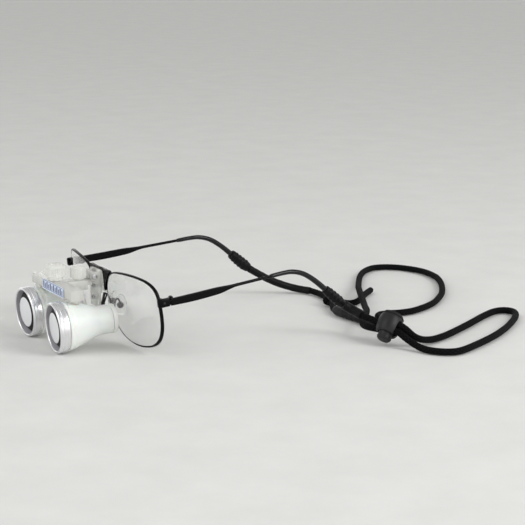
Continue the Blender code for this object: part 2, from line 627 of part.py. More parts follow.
def make_barrel(side, sign, parent):
    """One Galilean telescope: ring, front lens, baffle, shell, eye lens and eye ring."""
    forward = Vector((-sign * math.sin(CONVERGE), -math.cos(CONVERGE) * math.cos(DECLINE), -math.sin(DECLINE)))
    axis_frame = empty("telescope_" + side, (sign * BARREL_X, BARREL_Y, BARREL_Z), turn_to(forward, (0, 0, 1)),
                       parent)
    turned("front_ring_" + side, [(12.4, -1.3), (13.7, 0.0), (14.5, -0.15), (15.0, -0.8), (15.0, -5.9),
                                  (14.7, -6.3), (13.75, -6.3), (13.75, -3.0), (12.4, -3.0)],
           SATIN_SILVER, axis_frame, sides=26, closed=True)
    turned("front_lens_" + side, [(0, -1.5), (5.0, -1.8), (9.0, -2.5), (11.9, -3.3), (13.3, -3.5), (13.3, -5.3),
                                  (0, -5.3)], COATED_GLASS, axis_frame)
    turned("baffle_" + side, [(11.7, -5.7), (11.4, -11.0), (10.6, -11.0), (10.8, -5.7)], BAFFLE_BLACK, axis_frame,
           closed=True)
    turned("barrel_shell_" + side, [(13.4, -5.7), (13.4, -6.6), (14.5, -6.65), (14.5, -8.4), (13.4, -12.5),
                                    (8.9, -25.5), (8.5, -27.5), (8.5, -34.6), (7.2, -34.6), (7.2, -27.0),
                                    (12.0, -12.0), (12.3, -5.7)], IVORY_SHELL, axis_frame, closed=True, sides=24)
    turned("eye_lens_" + side, [(0, -32.0), (6.8, -31.2), (6.8, -33.4), (0, -33.4)], COATED_GLASS, axis_frame,
           sides=18)
    turned("eye_ring_" + side, [(6.0, -34.9), (8.4, -34.9), (8.6, -35.3), (8.6, -37.0), (8.2, -37.5),
                                (6.4, -37.5)], IVORY_SHELL, axis_frame, closed=True, sides=20)
    make_slider(side, sign, parent, axis_frame)


# ------------------------------------------------------------------ head strap
LOCK_THROUGH = Vector((math.cos(LOCK_HEADING), math.sin(LOCK_HEADING), 0))
LOCK_UP = Vector((-math.sin(LOCK_HEADING) * math.cos(LOCK_DIP), math.cos(LOCK_HEADING) * math.cos(LOCK_DIP),
                  math.sin(LOCK_DIP)))
HOLE_MIDDLE = -1.5 * MM             # up the lock from its centre


def lock_point(along, above):
    """A point in the lock's hole, in millimetres: along the cord's way through and up the lock."""
    return (LOCK_CENTRE + LOCK_THROUGH * along * MM + LOCK_UP * (HOLE_MIDDLE + above)) / MM


def strap_routes():
    """Every stretch of the strap, end to end, as hand-picked points in millimetres."""
    strand = STRAND_OFFSET
    return {
        "strap_sleeve_left": [(63.0, 123.5, 19.2), (63.6, 126.6, 17.2), (66.6, 129.2, 15.3),
                              (72.2, 131.0, 13.8)],
        "strap_cord_lead": [(72.9, 131.1, 13.7), (80.0, 132.5, 12.9), lock_point(-8.6, strand),
                            lock_point(-5.2, strand)],
        "strap_sleeve_right": [(-62.9, 122.9, 19.5), (-62.8, 129.0, 15.8), (-62.8, 138.0, 10.6),
                               (-62.0, 147.0, 6.5), (-59.5, 155.5, 3.6), (-55.5, 160.6, 2.6),
                               (-51.0, 163.3, 2.6)],
        "strap_cord_outer": [(-50.2, 163.6, 2.5), (-42.0, 164.9, 2.2), (-32.0, 164.0, 2.2),
                             (-24.0, 162.1, 2.6), (-18.3, 160.2, 3.3)],
        "strap_cord_inner": [(-8.1, 155.9, 3.3), (-2.0, 152.9, 2.6), (4.0, 149.9, 2.6), (9.9, 148.2, 3.0)],
        "strap_sleeve_lower": [(10.4, 148.1, 3.1), (20.0, 147.8, 3.1), (34.0, 149.0, 3.1), (47.0, 150.4, 3.1),
                               (60.5, 150.8, 3.1)],
        "strap_cord_loop": [(62.0, 150.9, 2.9), (66.8, 152.0, 2.4), (69.4, 155.8, 2.1), (66.6, 159.6, 2.1),
                            (59.0, 161.0, 2.1), (47.0, 161.2, 2.1), (36.5, 163.6, 2.1), (30.8, 168.0, 2.1),
                            (30.2, 175.0, 2.1), (32.0, 184.0, 2.1), (29.3, 196.7, 2.1), (17.5, 216.2, 2.1),
                            (-0.7, 233.8, 2.1), (-14.2, 243.8, 2.1), (-27.9, 252.2, 2.1), (-41.0, 259.0, 2.1),
                            (-55.0, 264.4, 2.1), (-73.1, 266.6, 2.1), (-89.2, 261.9, 2.1),
                            (-99.4, 252.8, 2.1), (-101.2, 241.5, 2.1), (-92.9, 229.4, 2.1),
                            (-79.5, 218.3, 2.1), (-62.0, 207.0, 2.1), (-46.5, 197.8, 3.9), (-33.0, 189.9, 5.6),
                            (-19.9, 182.9, 6.7), (-6.0, 175.8, 7.1), (4.6, 170.8, 6.8), (16.9, 164.9, 6.4),
                            (26.5, 160.0, 6.9), (34.6, 156.0, 7.7), (42.0, 151.9, 8.6), (50.0, 146.8, 9.1),
                            (58.0, 140.5, 9.0), (66.0, 134.9, 8.5), (73.0, 131.4, 8.2), (80.0, 130.3, 8.5),
                            lock_point(-8.6, -strand), lock_point(-5.2, -strand)],
        "strap_cord_bight": [lock_point(5.2, -strand), lock_point(8.2, -strand), (106.9, 139.2, 6.9),
                             (112.6, 141.5, 4.2), (119.2, 143.7, 2.3), (127.4, 147.0, 2.1),
                             (133.2, 154.2, 2.1), (132.6, 163.0, 2.1), (122.8, 181.2, 2.1),
                             (113.0, 197.0, 2.1), (103.4, 210.0, 2.1), (91.3, 224.2, 2.1), (73.8, 241.2, 2.1),
                             (62.6, 247.6, 2.1), (56.2, 245.4, 2.1), (55.8, 238.0, 2.1), (63.2, 224.8, 2.1),
                             (78.6, 202.9, 2.1), (94.0, 179.4, 2.1), (101.0, 166.0, 2.1), (104.6, 157.4, 2.8),
                             (107.4, 149.8, 4.6), (107.2, 144.8, 7.2), (104.4, 142.4, 10.2),
                             lock_point(7.8, strand), lock_point(5.2, strand)],
        "strap_cord_tail": [(-10.3, 162.6, 3.2), (-7.0, 166.2, 2.3), (-7.0, 171.2, 2.1), (-10.8, 177.0, 2.1),
                            (-17.2, 182.9, 2.1), (-26.6, 191.2, 2.1), (-36.0, 200.9, 2.1)],
    }


def make_strap(parent):
    for name, route in strap_routes().items():
        sleeve = SLEEVE_RADIUS.get(name.removeprefix("strap_sleeve_"))
        points = smooth_path([tuple(value * MM for value in point) for point in route],
                             5 * MM if sleeve else CORD_STEP)
        tube(name, points, sleeve or CORD_RADIUS, BLACK_RUBBER if sleeve else BLACK_CORD, parent)
    mould = bmesh.new()
    bmesh.ops.create_uvsphere(mould, u_segments=12, v_segments=8, radius=1.0)
    bmesh.ops.scale(mould, vec=Vector((4.9, 4.3, 4.0)) * MM, verts=mould.verts)
    knot = place("strap_knot", mesh_from("strap_knot", mould), BLACK_CORD, parent, KNOT_CENTRE,
                 Matrix.Rotation(KNOT_HEADING, 3, 'Z'))
    knot.data.shade_smooth()


def make_cord_lock(parent):
    """A barrel lock lying on its side: body, sprung plunger with its button, and the spring."""
    frame = empty("lock_frame", LOCK_CENTRE, turn_to(LOCK_UP, LOCK_UP.cross(LOCK_THROUGH)), parent)
    body = turned("lock_body", [(0, 8.0), (3.8, 7.8), (5.9, 6.6), (7.1, 4.2), (7.4, 1.0), (7.2, -2.6), (6.6, -5.2),
                                (6.1, -6.0), (5.0, -6.0), (5.0, 6.4), (0, 6.4)], BLACK_PLASTIC, frame)
    passage = slab("lock_passage", [oval(5.3, 9.6)], 20, BLACK_PLASTIC, frame, (0, 0, HOLE_MIDDLE),
                   ALONG_X)
    combine(body, passage, 'DIFFERENCE')
    plunger = turned("lock_button", [(0, 2.6), (4.5, 2.6), (4.5, -6.2), (4.3, -6.8), (4.3, -9.4), (3.5, -10.2),
                                     (0, -10.4)], BLACK_PLASTIC, frame, sides=16)
    slot = slab("button_slot", [oval(5.4, 6.2)], 20, BLACK_PLASTIC, frame, (0, 0, HOLE_MIDDLE - 1.0 * MM),
                ALONG_X)
    combine(plunger, slot, 'DIFFERENCE')
    turns, wire, low, high = 2.5, 0.25 * MM, 3.15 * MM, 6.1 * MM
    coil = []
    for index in range(int(turns * 10) + 1):
        share = index / (turns * 10)
        angle = 2 * math.pi * turns * share
        coil.append((3.3 * MM * math.cos(angle), 3.3 * MM * math.sin(angle), low + (high - low) * share))
    tube("lock_spring", coil, wire, STEEL, frame)


# ------------------------------------------------------------------ assembly
def main():
    base = empty("hinge_plane", (0, FRONT_PLANE_Y, 0))
    make_bridge(base)
    for side, sign in SIDES:
        make_rim(side, sign, base)
        make_lens(side, sign, base)
        make_nose_pads(side, sign, base)
        hinge = empty("hinge_" + side, (sign * HINGE_X, HINGE_Y, HINGE_Z), Matrix.Rotation(HINGE_LEAN, 3, 'X'),
                      base)
        make_end_piece(side, sign, hinge)
        make_temple(side, sign, hinge)
        make_barrel(side, sign, base)
    make_bracket(base)
    make_release_lever(base)
    make_flip_unit(base)
    make_strap(base)
    make_cord_lock(base)


main()
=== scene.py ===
"""Looks for the dental loupes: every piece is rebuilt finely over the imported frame, in metres."""
import math

import bmesh
import bpy
import numpy as np
from mathutils import Matrix, Vector


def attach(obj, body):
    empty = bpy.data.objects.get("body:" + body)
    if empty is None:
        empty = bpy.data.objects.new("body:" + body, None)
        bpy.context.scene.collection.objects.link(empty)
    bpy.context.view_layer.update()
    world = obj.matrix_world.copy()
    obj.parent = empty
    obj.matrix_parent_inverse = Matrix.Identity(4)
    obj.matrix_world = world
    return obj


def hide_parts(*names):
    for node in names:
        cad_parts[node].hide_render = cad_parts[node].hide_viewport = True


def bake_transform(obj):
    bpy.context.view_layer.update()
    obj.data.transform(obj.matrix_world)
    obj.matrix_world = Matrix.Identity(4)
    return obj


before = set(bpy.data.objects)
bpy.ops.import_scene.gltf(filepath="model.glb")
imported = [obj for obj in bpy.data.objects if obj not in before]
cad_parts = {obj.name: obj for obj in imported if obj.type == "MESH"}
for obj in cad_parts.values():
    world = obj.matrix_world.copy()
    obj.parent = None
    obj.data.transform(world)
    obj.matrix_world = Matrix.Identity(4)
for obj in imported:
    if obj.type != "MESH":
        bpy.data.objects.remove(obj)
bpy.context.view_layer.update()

MM = 0.001
SIDES = (("left", 1, "l"), ("right", -1, "r"))
FRONT_PLANE_Y = -37.885  # millimetres, as every length below unless it says metres
HINGE = (68.3, 7.6, 34.4)
HINGE_LEAN = math.radians(6.4)
BARREL = (24.0, -47.1, 14.8)
CONVERGE, DECLINE = math.radians(2.8), math.radians(4.4)
FLIP_Y, FLIP_Z = -13.6, 38.8
ARM_SCREW_Y, PINION_Y = -21.5, -35.6
LOCK_CENTRE = Vector((93.1, 137.3, 11.5))
LOCK_HEADING, LOCK_DIP = math.radians(25.0), math.radians(49.7)
HOLE_MIDDLE, STRAND = -1.5, 2.15
KNOT_CENTRE = Vector((-13.0, 158.0, 4.1))
UP = (0, 0, 1)
WELD = 0.004  # corners closer than this are one
CURVE_SAMPLES = 32  # between two points of a route, before it is spaced evenly
DOME_STEPS, DOME_FLATNESS, DOME_CHART = (0.35, 0.7, 0.92, 0.99), 0.8, 0.3
LENS_THICKNESS, LENS_INSET = 1.7, 0.62
BRAID_PICK, BRAID_STRANDS = 2.6, 6  # length of one crossing, crossings round the cord
CORD_RADIUS, CORD_STEP, SLEEVE_STEP, SMOOTHING = 2.05, 0.65, 0.5, 6
SLEEVE_RADIUS = {"strap_sleeve_lower": 2.9, "strap_sleeve_left": 2.9, "strap_sleeve_right": 2.4}
MOUTH_NECK, MOUTH_FADE = 0.25, 0.8  # how much a sleeve narrows at its ends, and over what length
GRIP_EXTRA = {"left": 0.0, "right": 0.4}

PIECES = bpy.data.collections.new("loupes_pieces")
bpy.context.scene.collection.children.link(PIECES)


# ---------------- camera
def aim(obj, target):
    direction = Vector(target) - obj.location
    obj.rotation_euler = direction.to_track_quat('-Z', 'Y').to_euler()


def make_camera():
    azimuth, elevation, distance = math.radians(62.77), math.radians(11.02), 1.01384
    target = Vector((0.07995, 0.060 + FRONT_PLANE_Y * MM, 0.0536))
    back = Vector((math.sin(azimuth) * math.cos(elevation), -math.cos(azimuth) * math.cos(elevation),
                   math.sin(elevation)))
    lens = bpy.data.cameras.new("camera")
    lens.lens = 121.71
    lens.sensor_width = 36.0
    lens.clip_end = 100
    camera = bpy.data.objects.new("camera", lens)
    camera.location = target + back * distance
    bpy.context.scene.collection.objects.link(camera)
    aim(camera, target)
    bpy.context.scene.camera = camera


make_camera()


# ---------------- materials
class Surface:
    """A Principled material whose colour, roughness and relief come from procedural nodes."""

    def __init__(self, name, **sockets):
        self.material = bpy.data.materials.new(name)
        self.material.use_nodes = True
        self.tree = self.material.node_tree
        self.shader = self.tree.nodes["Principled BSDF"]
        for socket, value in sockets.items():
            self.shader.inputs[socket.replace("_", " ")].default_value = value

    def node(self, kind, **settings):
        made = self.tree.nodes.new(kind)
        for key, value in settings.items():
            if key.startswith("in_"):
                made.inputs[key[3:].replace("_", " ")].default_value = value
            else:
                setattr(made, key, value)
        return made

    def link(self, output, socket):
        self.tree.links.new(output, socket)

    def place(self, kind="Object", stretch=(1, 1, 1)):
        coordinates = self.node("ShaderNodeTexCoord")
        mapping = self.node("ShaderNodeMapping")
        mapping.inputs["Scale"].default_value = stretch
        self.link(coordinates.outputs[kind], mapping.inputs["Vector"])
        return mapping.outputs["Vector"]

    def noise(self, vector, scale, detail=4.0, roughness=0.5):
        texture = self.node("ShaderNodeTexNoise", in_Scale=scale, in_Detail=detail, in_Roughness=roughness)
        self.link(vector, texture.inputs["Vector"])
        return texture.outputs["Fac"]

    def math(self, operation, first, second=None):
        step = self.node("ShaderNodeMath", operation=operation)
        for index, value in enumerate((first, second)):
            if value is None:
                continue
            if isinstance(value, (int, float)):
                step.inputs[index].default_value = value
            else:
                self.link(value, step.inputs[index])
        return step.outputs[0]

    def spread(self, fac, low, high):
        """The middle of a noise's range, stretched from low to high."""
        span = self.node("ShaderNodeMapRange", in_From_Min=0.3, in_From_Max=0.7, in_To_Min=low,
                         in_To_Max=high)
        self.link(fac, span.inputs["Value"])
        return span.outputs["Result"]

    def ramp(self, fac, stops):
        """A colour ramp from (position, colour) stops."""
        made = self.node("ShaderNodeValToRGB")
        band = made.color_ramp
        while len(band.elements) < len(stops):
            band.elements.new(0.5)
        for element, (position, colour) in zip(band.elements, stops):
            element.position = position
            element.color = (*colour, 1.0)
        self.link(fac, made.inputs["Fac"])
        return made.outputs["Color"]

    def colour(self, output):
        self.link(output, self.shader.inputs["Base Color"])

    def clouded(self, fac, colour, dark, light):
        """One colour between two strengths of itself."""
        self.colour(self.ramp(fac, [(0.3, tint(colour, dark)), (0.7, tint(colour, light))]))

    def roughness(self, output):
        self.link(output, self.shader.inputs["Roughness"])

    def relief(self, height, depth, strength=0.5):
        """Bump from a height between 0 and 1, depth millimetres deep."""
        bump = self.node("ShaderNodeBump", in_Strength=strength, in_Distance=depth * MM)
        self.link(height, bump.inputs["Height"])
        self.link(bump.outputs["Normal"], self.shader.inputs["Normal"])


def tint(colour, factor):
    return tuple(min(1.0, channel * factor) for channel in colour)


def plain_finish(name, colour, rough, shift=0.12, patch=120.0, grain=2500.0, depth=0.01, rough_shift=0.08,
                 stretch=(1, 1, 1), **sockets):
    """Cloudy colour, uneven gloss and a fine grain, all from noise in the object's own space."""
    made = Surface(name, **sockets)
    vector = made.place("Object", stretch)
    clouds = made.noise(vector, patch, 3.0)
    made.clouded(clouds, colour, 1 - shift, 1 + shift)
    smudge = made.noise(vector, patch * 2.7, 5.0)
    made.roughness(made.spread(smudge, max(0.01, rough - rough_shift), rough + rough_shift))
    made.relief(made.noise(vector, grain, 2.0), depth)
    return made.material


def braid_finish():
    """Plaited polyester: strands that cross in diamonds, with fine threads along each strand; the colour
    darkens into the hollows between strands as painted shade.
    """
    made = Surface("braided_cord", Sheen_Weight=0.02, Sheen_Roughness=0.4, Specular_IOR_Level=0.08)
    split = made.node("ShaderNodeSeparateXYZ")
    made.link(made.place("UV"), split.inputs["Vector"])
    along, around = split.outputs["X"], split.outputs["Y"]
    pick = made.math("MULTIPLY", along, 1000 / BRAID_PICK)
    turn = made.math("MULTIPLY", around, BRAID_STRANDS)
    rising = made.math("ADD", pick, turn)
    falling = made.math("SUBTRACT", pick, turn)
    one = made.math("ABSOLUTE", made.math("SINE", made.math("MULTIPLY", rising, math.pi)))
    other = made.math("ABSOLUTE", made.math("SINE", made.math("MULTIPLY", falling, math.pi)))
    diamond = made.math("POWER", made.math("MULTIPLY", one, other), 0.5)
    thread = made.math("SINE", made.math("MULTIPLY", rising, math.pi * 10))
    height = made.math("ADD", diamond, made.math("MULTIPLY", thread, 0.07))
    clouds = made.noise(made.place("Object"), 260.0, 4.0)
    # Colour follows the strands' height: darker in the hollows as painted shade, with random tone from the
    # clouds.
    shade = made.math("MULTIPLY", diamond, made.spread(clouds, 0.75, 1.15))
    made.colour(made.ramp(shade, [(0.0, (0.0006, 0.0006, 0.0008)), (0.55, (0.0024, 0.0024, 0.003)),
                                  (1.0, (0.009, 0.009, 0.0105))]))
    made.roughness(made.spread(clouds, 0.75, 0.95))
    made.relief(height, 0.22, 0.8)
    return made.material


def brushed_finish(name, colour, rough, lines=2600.0, **sockets):
    """Metal turned on a lathe: fine rings that follow the piece's own round-and-along map."""
    made = Surface(name, Metallic=1.0, **sockets)
    rings = made.noise(made.place("UV", (lines, 2.0, 1.0)), 1.0, 3.0)
    clouds = made.noise(made.place("Object"), 90.0, 3.0)
    mixed = made.math("ADD", made.math("MULTIPLY", rings, 0.6), made.math("MULTIPLY", clouds, 0.4))
    made.clouded(mixed, colour, 0.9, 1.08)
    made.roughness(made.spread(mixed, rough - 0.07, rough + 0.1))
    made.relief(rings, 0.0015, 0.3)
    return made.material


def clear_finish(name, colour, rough, ior, weight=1.0, haze=0.0, grain=0.004, **sockets):
    """Moulded clear plastic or glass, faintly uneven."""
    made = Surface(name, Transmission_Weight=weight, IOR=ior, **sockets)
    vector = made.place("Object")
    clouds = made.noise(vector, 140.0, 3.0)
    made.clouded(clouds, colour, 0.98, 1.02)
    made.roughness(made.spread(made.noise(vector, 350.0, 4.0), max(0.0, rough - haze), rough + haze))
    made.relief(made.noise(vector, 600.0, 2.0), grain, 0.3)
    return made.material


LACQUER = plain_finish("black_lacquer", (0.002, 0.002, 0.0024), 0.3, depth=0.006, grain=1800.0,
                       Specular_IOR_Level=0.1)
GUNMETAL = plain_finish("gunmetal", (0.05, 0.05, 0.055), 0.4, Metallic=1.0)
SPECTACLE_GLASS = clear_finish("spectacle_glass", (0.965, 0.972, 0.968), 0.005, 1.5, haze=0.004,
                               grain=0.0008)
SMOKED = clear_finish("smoked_plastic", (0.012, 0.012, 0.013), 0.16, 1.4, weight=0.3, haze=0.05,
                      Specular_IOR_Level=0.35)
SILICONE = clear_finish("clear_silicone", (0.98, 0.98, 0.97), 0.12, 1.25, weight=0.94, haze=0.05,
                        grain=0.01)
CLEAR = clear_finish("clear_plastic", (0.985, 0.99, 0.955), 0.22, 1.35, weight=0.6, haze=0.05)
IVORY = plain_finish("ivory_plastic", (0.885, 0.885, 0.86), 0.36, shift=0.03, patch=60.0, depth=0.012,
                     Subsurface_Weight=0.25, Subsurface_Scale=0.004, Coat_Weight=0.15, Coat_Roughness=0.2)
SILVER = brushed_finish("satin_silver", (0.86, 0.86, 0.88), 0.27)
MATTE_BLACK = plain_finish("baffle_black", (0.006, 0.006, 0.007), 0.7, depth=0.03)
# Mostly opaque light grey glass for the objective and eye lenses: the pale colour is a painted reflection of
# the bright surroundings.
OBJECTIVE_GLASS = clear_finish("coated_glass", (0.86, 0.87, 0.90), 0.06, 1.62, weight=0.12, haze=0.015,
                               grain=0.0006, Specular_IOR_Level=0.8)
# The front ring's inner wall: a darker grey copy of the silver, painted shade for the recess behind the
# ring's face.
RING_WALL_SHADE = plain_finish("silver_painted_shade", (0.34, 0.33, 0.36), 0.5, shift=0.1, patch=200.0)
SCALE_BLUE = plain_finish("scale_blue", (0.66, 0.75, 0.92), 0.42, shift=0.05, patch=200.0)
SCALE_INK = plain_finish("scale_ink", (0.012, 0.02, 0.14), 0.5, shift=0.2, patch=400.0)
STEEL = brushed_finish("bright_steel", (0.62, 0.62, 0.64), 0.25)
BLACK_PLASTIC = plain_finish("black_plastic", (0.006, 0.006, 0.007), 0.45, depth=0.02, grain=3200.0,
                             Specular_IOR_Level=0.2)
LOCK_PLASTIC = plain_finish("lock_plastic", (0.013, 0.013, 0.014), 0.45, depth=0.03, grain=2600.0,
                            Specular_IOR_Level=0.3)
RUBBER = plain_finish("black_rubber", (0.003, 0.003, 0.0035), 0.45, depth=0.03, grain=2200.0,
                      rough_shift=0.12, Specular_IOR_Level=0.16)
BRAID = braid_finish()


# ---------------- shapes
def add(name, data, finish, body, replaced=()):
    made = bpy.data.objects.new(name, data)
    data.materials.clear()
    data.materials.append(finish)
    PIECES.objects.link(made)
    if body:
        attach(made, body)
    if replaced:
        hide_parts(*replaced)
    return made


def poured(mould, name):
    """The mesh in a bmesh mould, which is then thrown away."""
    data = bpy.data.meshes.new(name)
    mould.to_mesh(data)
    mould.free()
    return data


def distances(points):
    """How far along a path each of its points is."""
    return np.concatenate([[0], np.cumsum(np.linalg.norm(np.diff(points, axis=0), axis=1))])


def grid_mesh(name, rows, closed_rows=False, lengths=None):
    """Quads over rows of points that each close round on themselves, mapped along and around."""
    rows = [np.asarray(row, dtype=float) for row in rows]
    count = len(rows[0])
    mould = bmesh.new()
    chart = mould.loops.layers.uv.new("UVMap")
    verts = [[mould.verts.new(point) for point in row] for row in rows]
    if lengths is None:
        lengths = distances([row.mean(axis=0) for row in rows])
    total = len(rows) if closed_rows else len(rows) - 1
    for row in range(total):
        ahead = (row + 1) % len(rows)
        end = lengths[ahead] if ahead else lengths[-1] + (lengths[1] - lengths[0])
        for index in range(count):
            beside = (index + 1) % count
            face = mould.faces.new((verts[row][index], verts[row][beside], verts[ahead][beside],
                                    verts[ahead][index]))
            face.smooth = True
            corners = ((lengths[row], index), (lengths[row], index + 1), (end, index + 1), (end, index))
            for loop, (along, around) in zip(face.loops, corners):
                loop[chart].uv = (along, around / count)
    if not closed_rows:
        mould.faces.new(list(reversed(verts[0])))
        mould.faces.new(verts[-1])
    bmesh.ops.recalc_face_normals(mould, faces=mould.faces)
    return poured(mould, name)


def smooth_path(points, step, closed=False):
    """Evenly spaced points on a smooth curve through the given ones (extra columns ride along)."""
    knots = np.array(points, dtype=float)
    if closed:
        knots = np.vstack([knots[-1], knots, knots[:2]])
    else:
        knots = np.vstack([2 * knots[0] - knots[1], knots, 2 * knots[-1] - knots[-2]])
    fine = []
    for before, start, end, after in zip(knots, knots[1:], knots[2:], knots[3:]):
        for t in np.linspace(0, 1, CURVE_SAMPLES, endpoint=False):
            fine.append(0.5 * (2 * start + (end - before) * t
                               + (2 * before - 5 * start + 4 * end - after) * t ** 2
                               + (3 * start - before - 3 * end + after) * t ** 3))
    fine.append(fine[0] if closed else knots[-2])
    fine = np.array(fine)
    along = distances(fine[:, :3])
    count = max(3, int(round(along[-1] / step)))
    stations = np.linspace(0, along[-1], count + 1)
    even = np.column_stack([np.interp(stations, along, column) for column in fine.T])
    return even[:-1] if closed else even


def relaxed(path, passes=3):
    """The same path with its small wiggles averaged away; its ends stay."""
    path = path.copy()
    for _ in range(passes):
        path[1:-1] = (path[:-2] + 2 * path[1:-1] + path[2:]) / 4
    return path


def carried_frames(path, closed=False):
    """Directions across and above each point, carried along without twisting."""
    ahead = np.roll(path, -1, axis=0)
    behind = np.roll(path, 1, axis=0)
    if not closed:
        ahead[-1], behind[0] = path[-1], path[0]
    tangent = ahead - behind
    tangent /= np.linalg.norm(tangent, axis=1)[:, None]
    start = np.array((0.0, 0.0, 1.0)) if abs(tangent[0][2]) < 0.9 else np.array((1.0, 0.0, 0.0))
    across = np.cross(start, tangent[0])
    frames = []
    for direction in tangent:
        across = across - direction * (across @ direction)
        across /= np.linalg.norm(across)
        frames.append((across.copy(), np.cross(direction, across)))
    if closed:
        first, last = frames[0], frames[-1]
        twist = math.atan2(last[1] @ first[0], last[0] @ first[0])
        for index, (side, above) in enumerate(frames):
            angle = twist * index / len(frames)
            frames[index] = (side * math.cos(angle) + above * math.sin(angle),
                             above * math.cos(angle) - side * math.sin(angle))
    return frames


def tube(name, path, radius, finish, body, replaced=(), sides=24, closed=False, relief=None,
         domed=(False, False)):
    """A round tube in metres from a path in millimetres; relief(along, around) adds to the radius."""
    path = np.asarray(path, dtype=float)
    radii = np.full(len(path), radius) if np.isscalar(radius) else np.asarray(radius, dtype=float)
    frames = carried_frames(path[:, :3], closed)
    reach = distances(path[:, :3])
    around = np.arange(sides) / sides

    def ring(centre, frame_pair, size, station):
        swell = relief(station, around) if relief is not None else 0.0
        wide = (size + swell)[:, None] if np.ndim(swell) else size
        turn = (around * 2 * math.pi)[:, None]
        return centre + wide * (np.cos(turn) * frame_pair[0] + np.sin(turn) * frame_pair[1])

    rows = [ring(*section) * MM for section in zip(path[:, :3], frames, radii, reach)]
    lengths = list(reach * MM)
    if not closed:
        for end, wanted in enumerate(domed):
            if not wanted:
                continue
            place_at = -1 if end else 0
            outward = np.cross(frames[place_at][0], frames[place_at][1]) * (1 if end else -1)
            for step in DOME_STEPS:
                size = radii[place_at] * math.sqrt(1 - step ** 2)
                centre = path[place_at, :3] + outward * radii[place_at] * step * DOME_FLATNESS
                dome = ring(centre, frames[place_at], size, reach[place_at]) * MM
                if end:
                    rows.append(dome)
                    lengths.append(lengths[-1] + radii[place_at] * DOME_CHART * MM)
                else:
                    rows.insert(0, dome)
                    lengths.insert(0, lengths[0] - radii[place_at] * DOME_CHART * MM)
    data = grid_mesh(name, rows, closed, lengths=lengths)
    return add(name, data, finish, body, replaced)


def lathe(name, profile, finish, body, replaced, matrix, sides=96, closed=False, relief=None, slot=None):
    """A profile of (radius, height) in millimetres spun about Z and placed by a matrix."""
    profile = [np.array(point, dtype=float) for point in profile]
    angles = np.arange(sides) / sides * 2 * math.pi
    rows = []
    for radius, height in profile:
        size = np.full(sides, radius)
        if relief is not None:
            size = size + relief(radius, height, angles)
        points = np.column_stack([size * np.cos(angles), size * np.sin(angles), np.full(sides, height)])
        rows.append(points * MM)
    data = grid_mesh(name, rows, closed, lengths=distances(profile) * MM)
    data.transform(matrix)
    made = add(name, data, finish, body, replaced)
    mark_sharp(data, 32)
    return made


def mark_sharp(data, angle):
    data.shade_smooth()
    data.set_sharp_from_angle(angle=math.radians(angle))


def rounded(profile, size, steps=3, closed=False):
    """The profile with each corner cut by a small arc, so that edges catch the light."""
    points = [np.array(point, dtype=float) for point in profile]
    count = len(points)
    result = []
    for index, here in enumerate(points):
        if not closed and index in (0, count - 1):
            result.append(here)
            continue
        before, after = points[index - 1], points[(index + 1) % count]
        to_before, to_after = before - here, after - here
        reach = min(size, np.linalg.norm(to_before) * 0.45, np.linalg.norm(to_after) * 0.45)
        start = here + to_before / np.linalg.norm(to_before) * reach
        end = here + to_after / np.linalg.norm(to_after) * reach
        for t in np.linspace(0, 1, steps + 1):
            result.append((1 - t) ** 2 * start + 2 * t * (1 - t) * here + t ** 2 * end)
    return result


def refined(node, body, finish, bevel=0.15, segments=3, angle=28):
    """A copy of a machined CAD solid with its flats merged and every edge softened."""
    mould = bmesh.new()
    mould.from_mesh(bpy.data.objects[node].data)
    bmesh.ops.remove_doubles(mould, verts=mould.verts, dist=WELD * MM)
    bmesh.ops.dissolve_limit(mould, angle_limit=math.radians(1.5), verts=mould.verts, edges=mould.edges)
    name = node + "_fine"
    data = poured(mould, name)
    made = add(name, data, finish, body, (node,))
    softened = made.modifiers.new("softened", 'BEVEL')
    softened.width = bevel * MM
    softened.segments = segments
    softened.limit_method = 'ANGLE'
    softened.angle_limit = math.radians(angle)
    softened.miter_outer = 'MITER_ARC'
    mark_sharp(data, 60)
    return made


def block(name, low, high, finish, body, bevel=0.12, matrix=None):
    """A small softened box between two corners in millimetres."""
    low, high = Vector(low), Vector(high)
    mould = bmesh.new()
    bmesh.ops.create_cube(mould, size=1.0)
    bmesh.ops.scale(mould, vec=(high - low) * MM, verts=mould.verts)
    bmesh.ops.translate(mould, vec=(high + low) / 2 * MM, verts=mould.verts)
    bmesh.ops.bevel(mould, geom=mould.edges[:], offset=bevel * MM, segments=3, profile=0.6,
                    affect='EDGES')
    if matrix is not None:
        bmesh.ops.transform(mould, matrix=matrix, verts=mould.verts)
    data = poured(mould, name)
    made = add(name, data, finish, body)
    mark_sharp(data, 45)
    return made


def turn_to(direction, up):
    z_axis = Vector(direction).normalized()
    x_axis = Vector(up).cross(z_axis).normalized()
    return Matrix((x_axis, z_axis.cross(x_axis), z_axis)).transposed()


def at(x, y, z, turn=None):
    """The matrix of a piece at a point in the front's own millimetres."""
    place = Matrix.Translation(Vector((x, y + FRONT_PLANE_Y, z)) * MM)
    return place if turn is None else place @ turn.to_4x4()


def sideways(base, x, y, sign):
    """The matrix of a piece that faces away from the middle, (x, y) millimetres along a base."""
    return base @ Matrix.Translation(Vector((x, y, 0)) * MM) @ turn_to((sign, 0, 0), UP).to_4x4()


def shifted(points):
    """Points given in the front's own frame, moved to the model's."""
    moved = np.array(points, dtype=float)
    moved[:, 1] += FRONT_PLANE_Y
    return moved


def squared(wave, power):
    """A sine or cosine bulged towards a square wave."""
    return np.sign(wave) * np.abs(wave) ** power


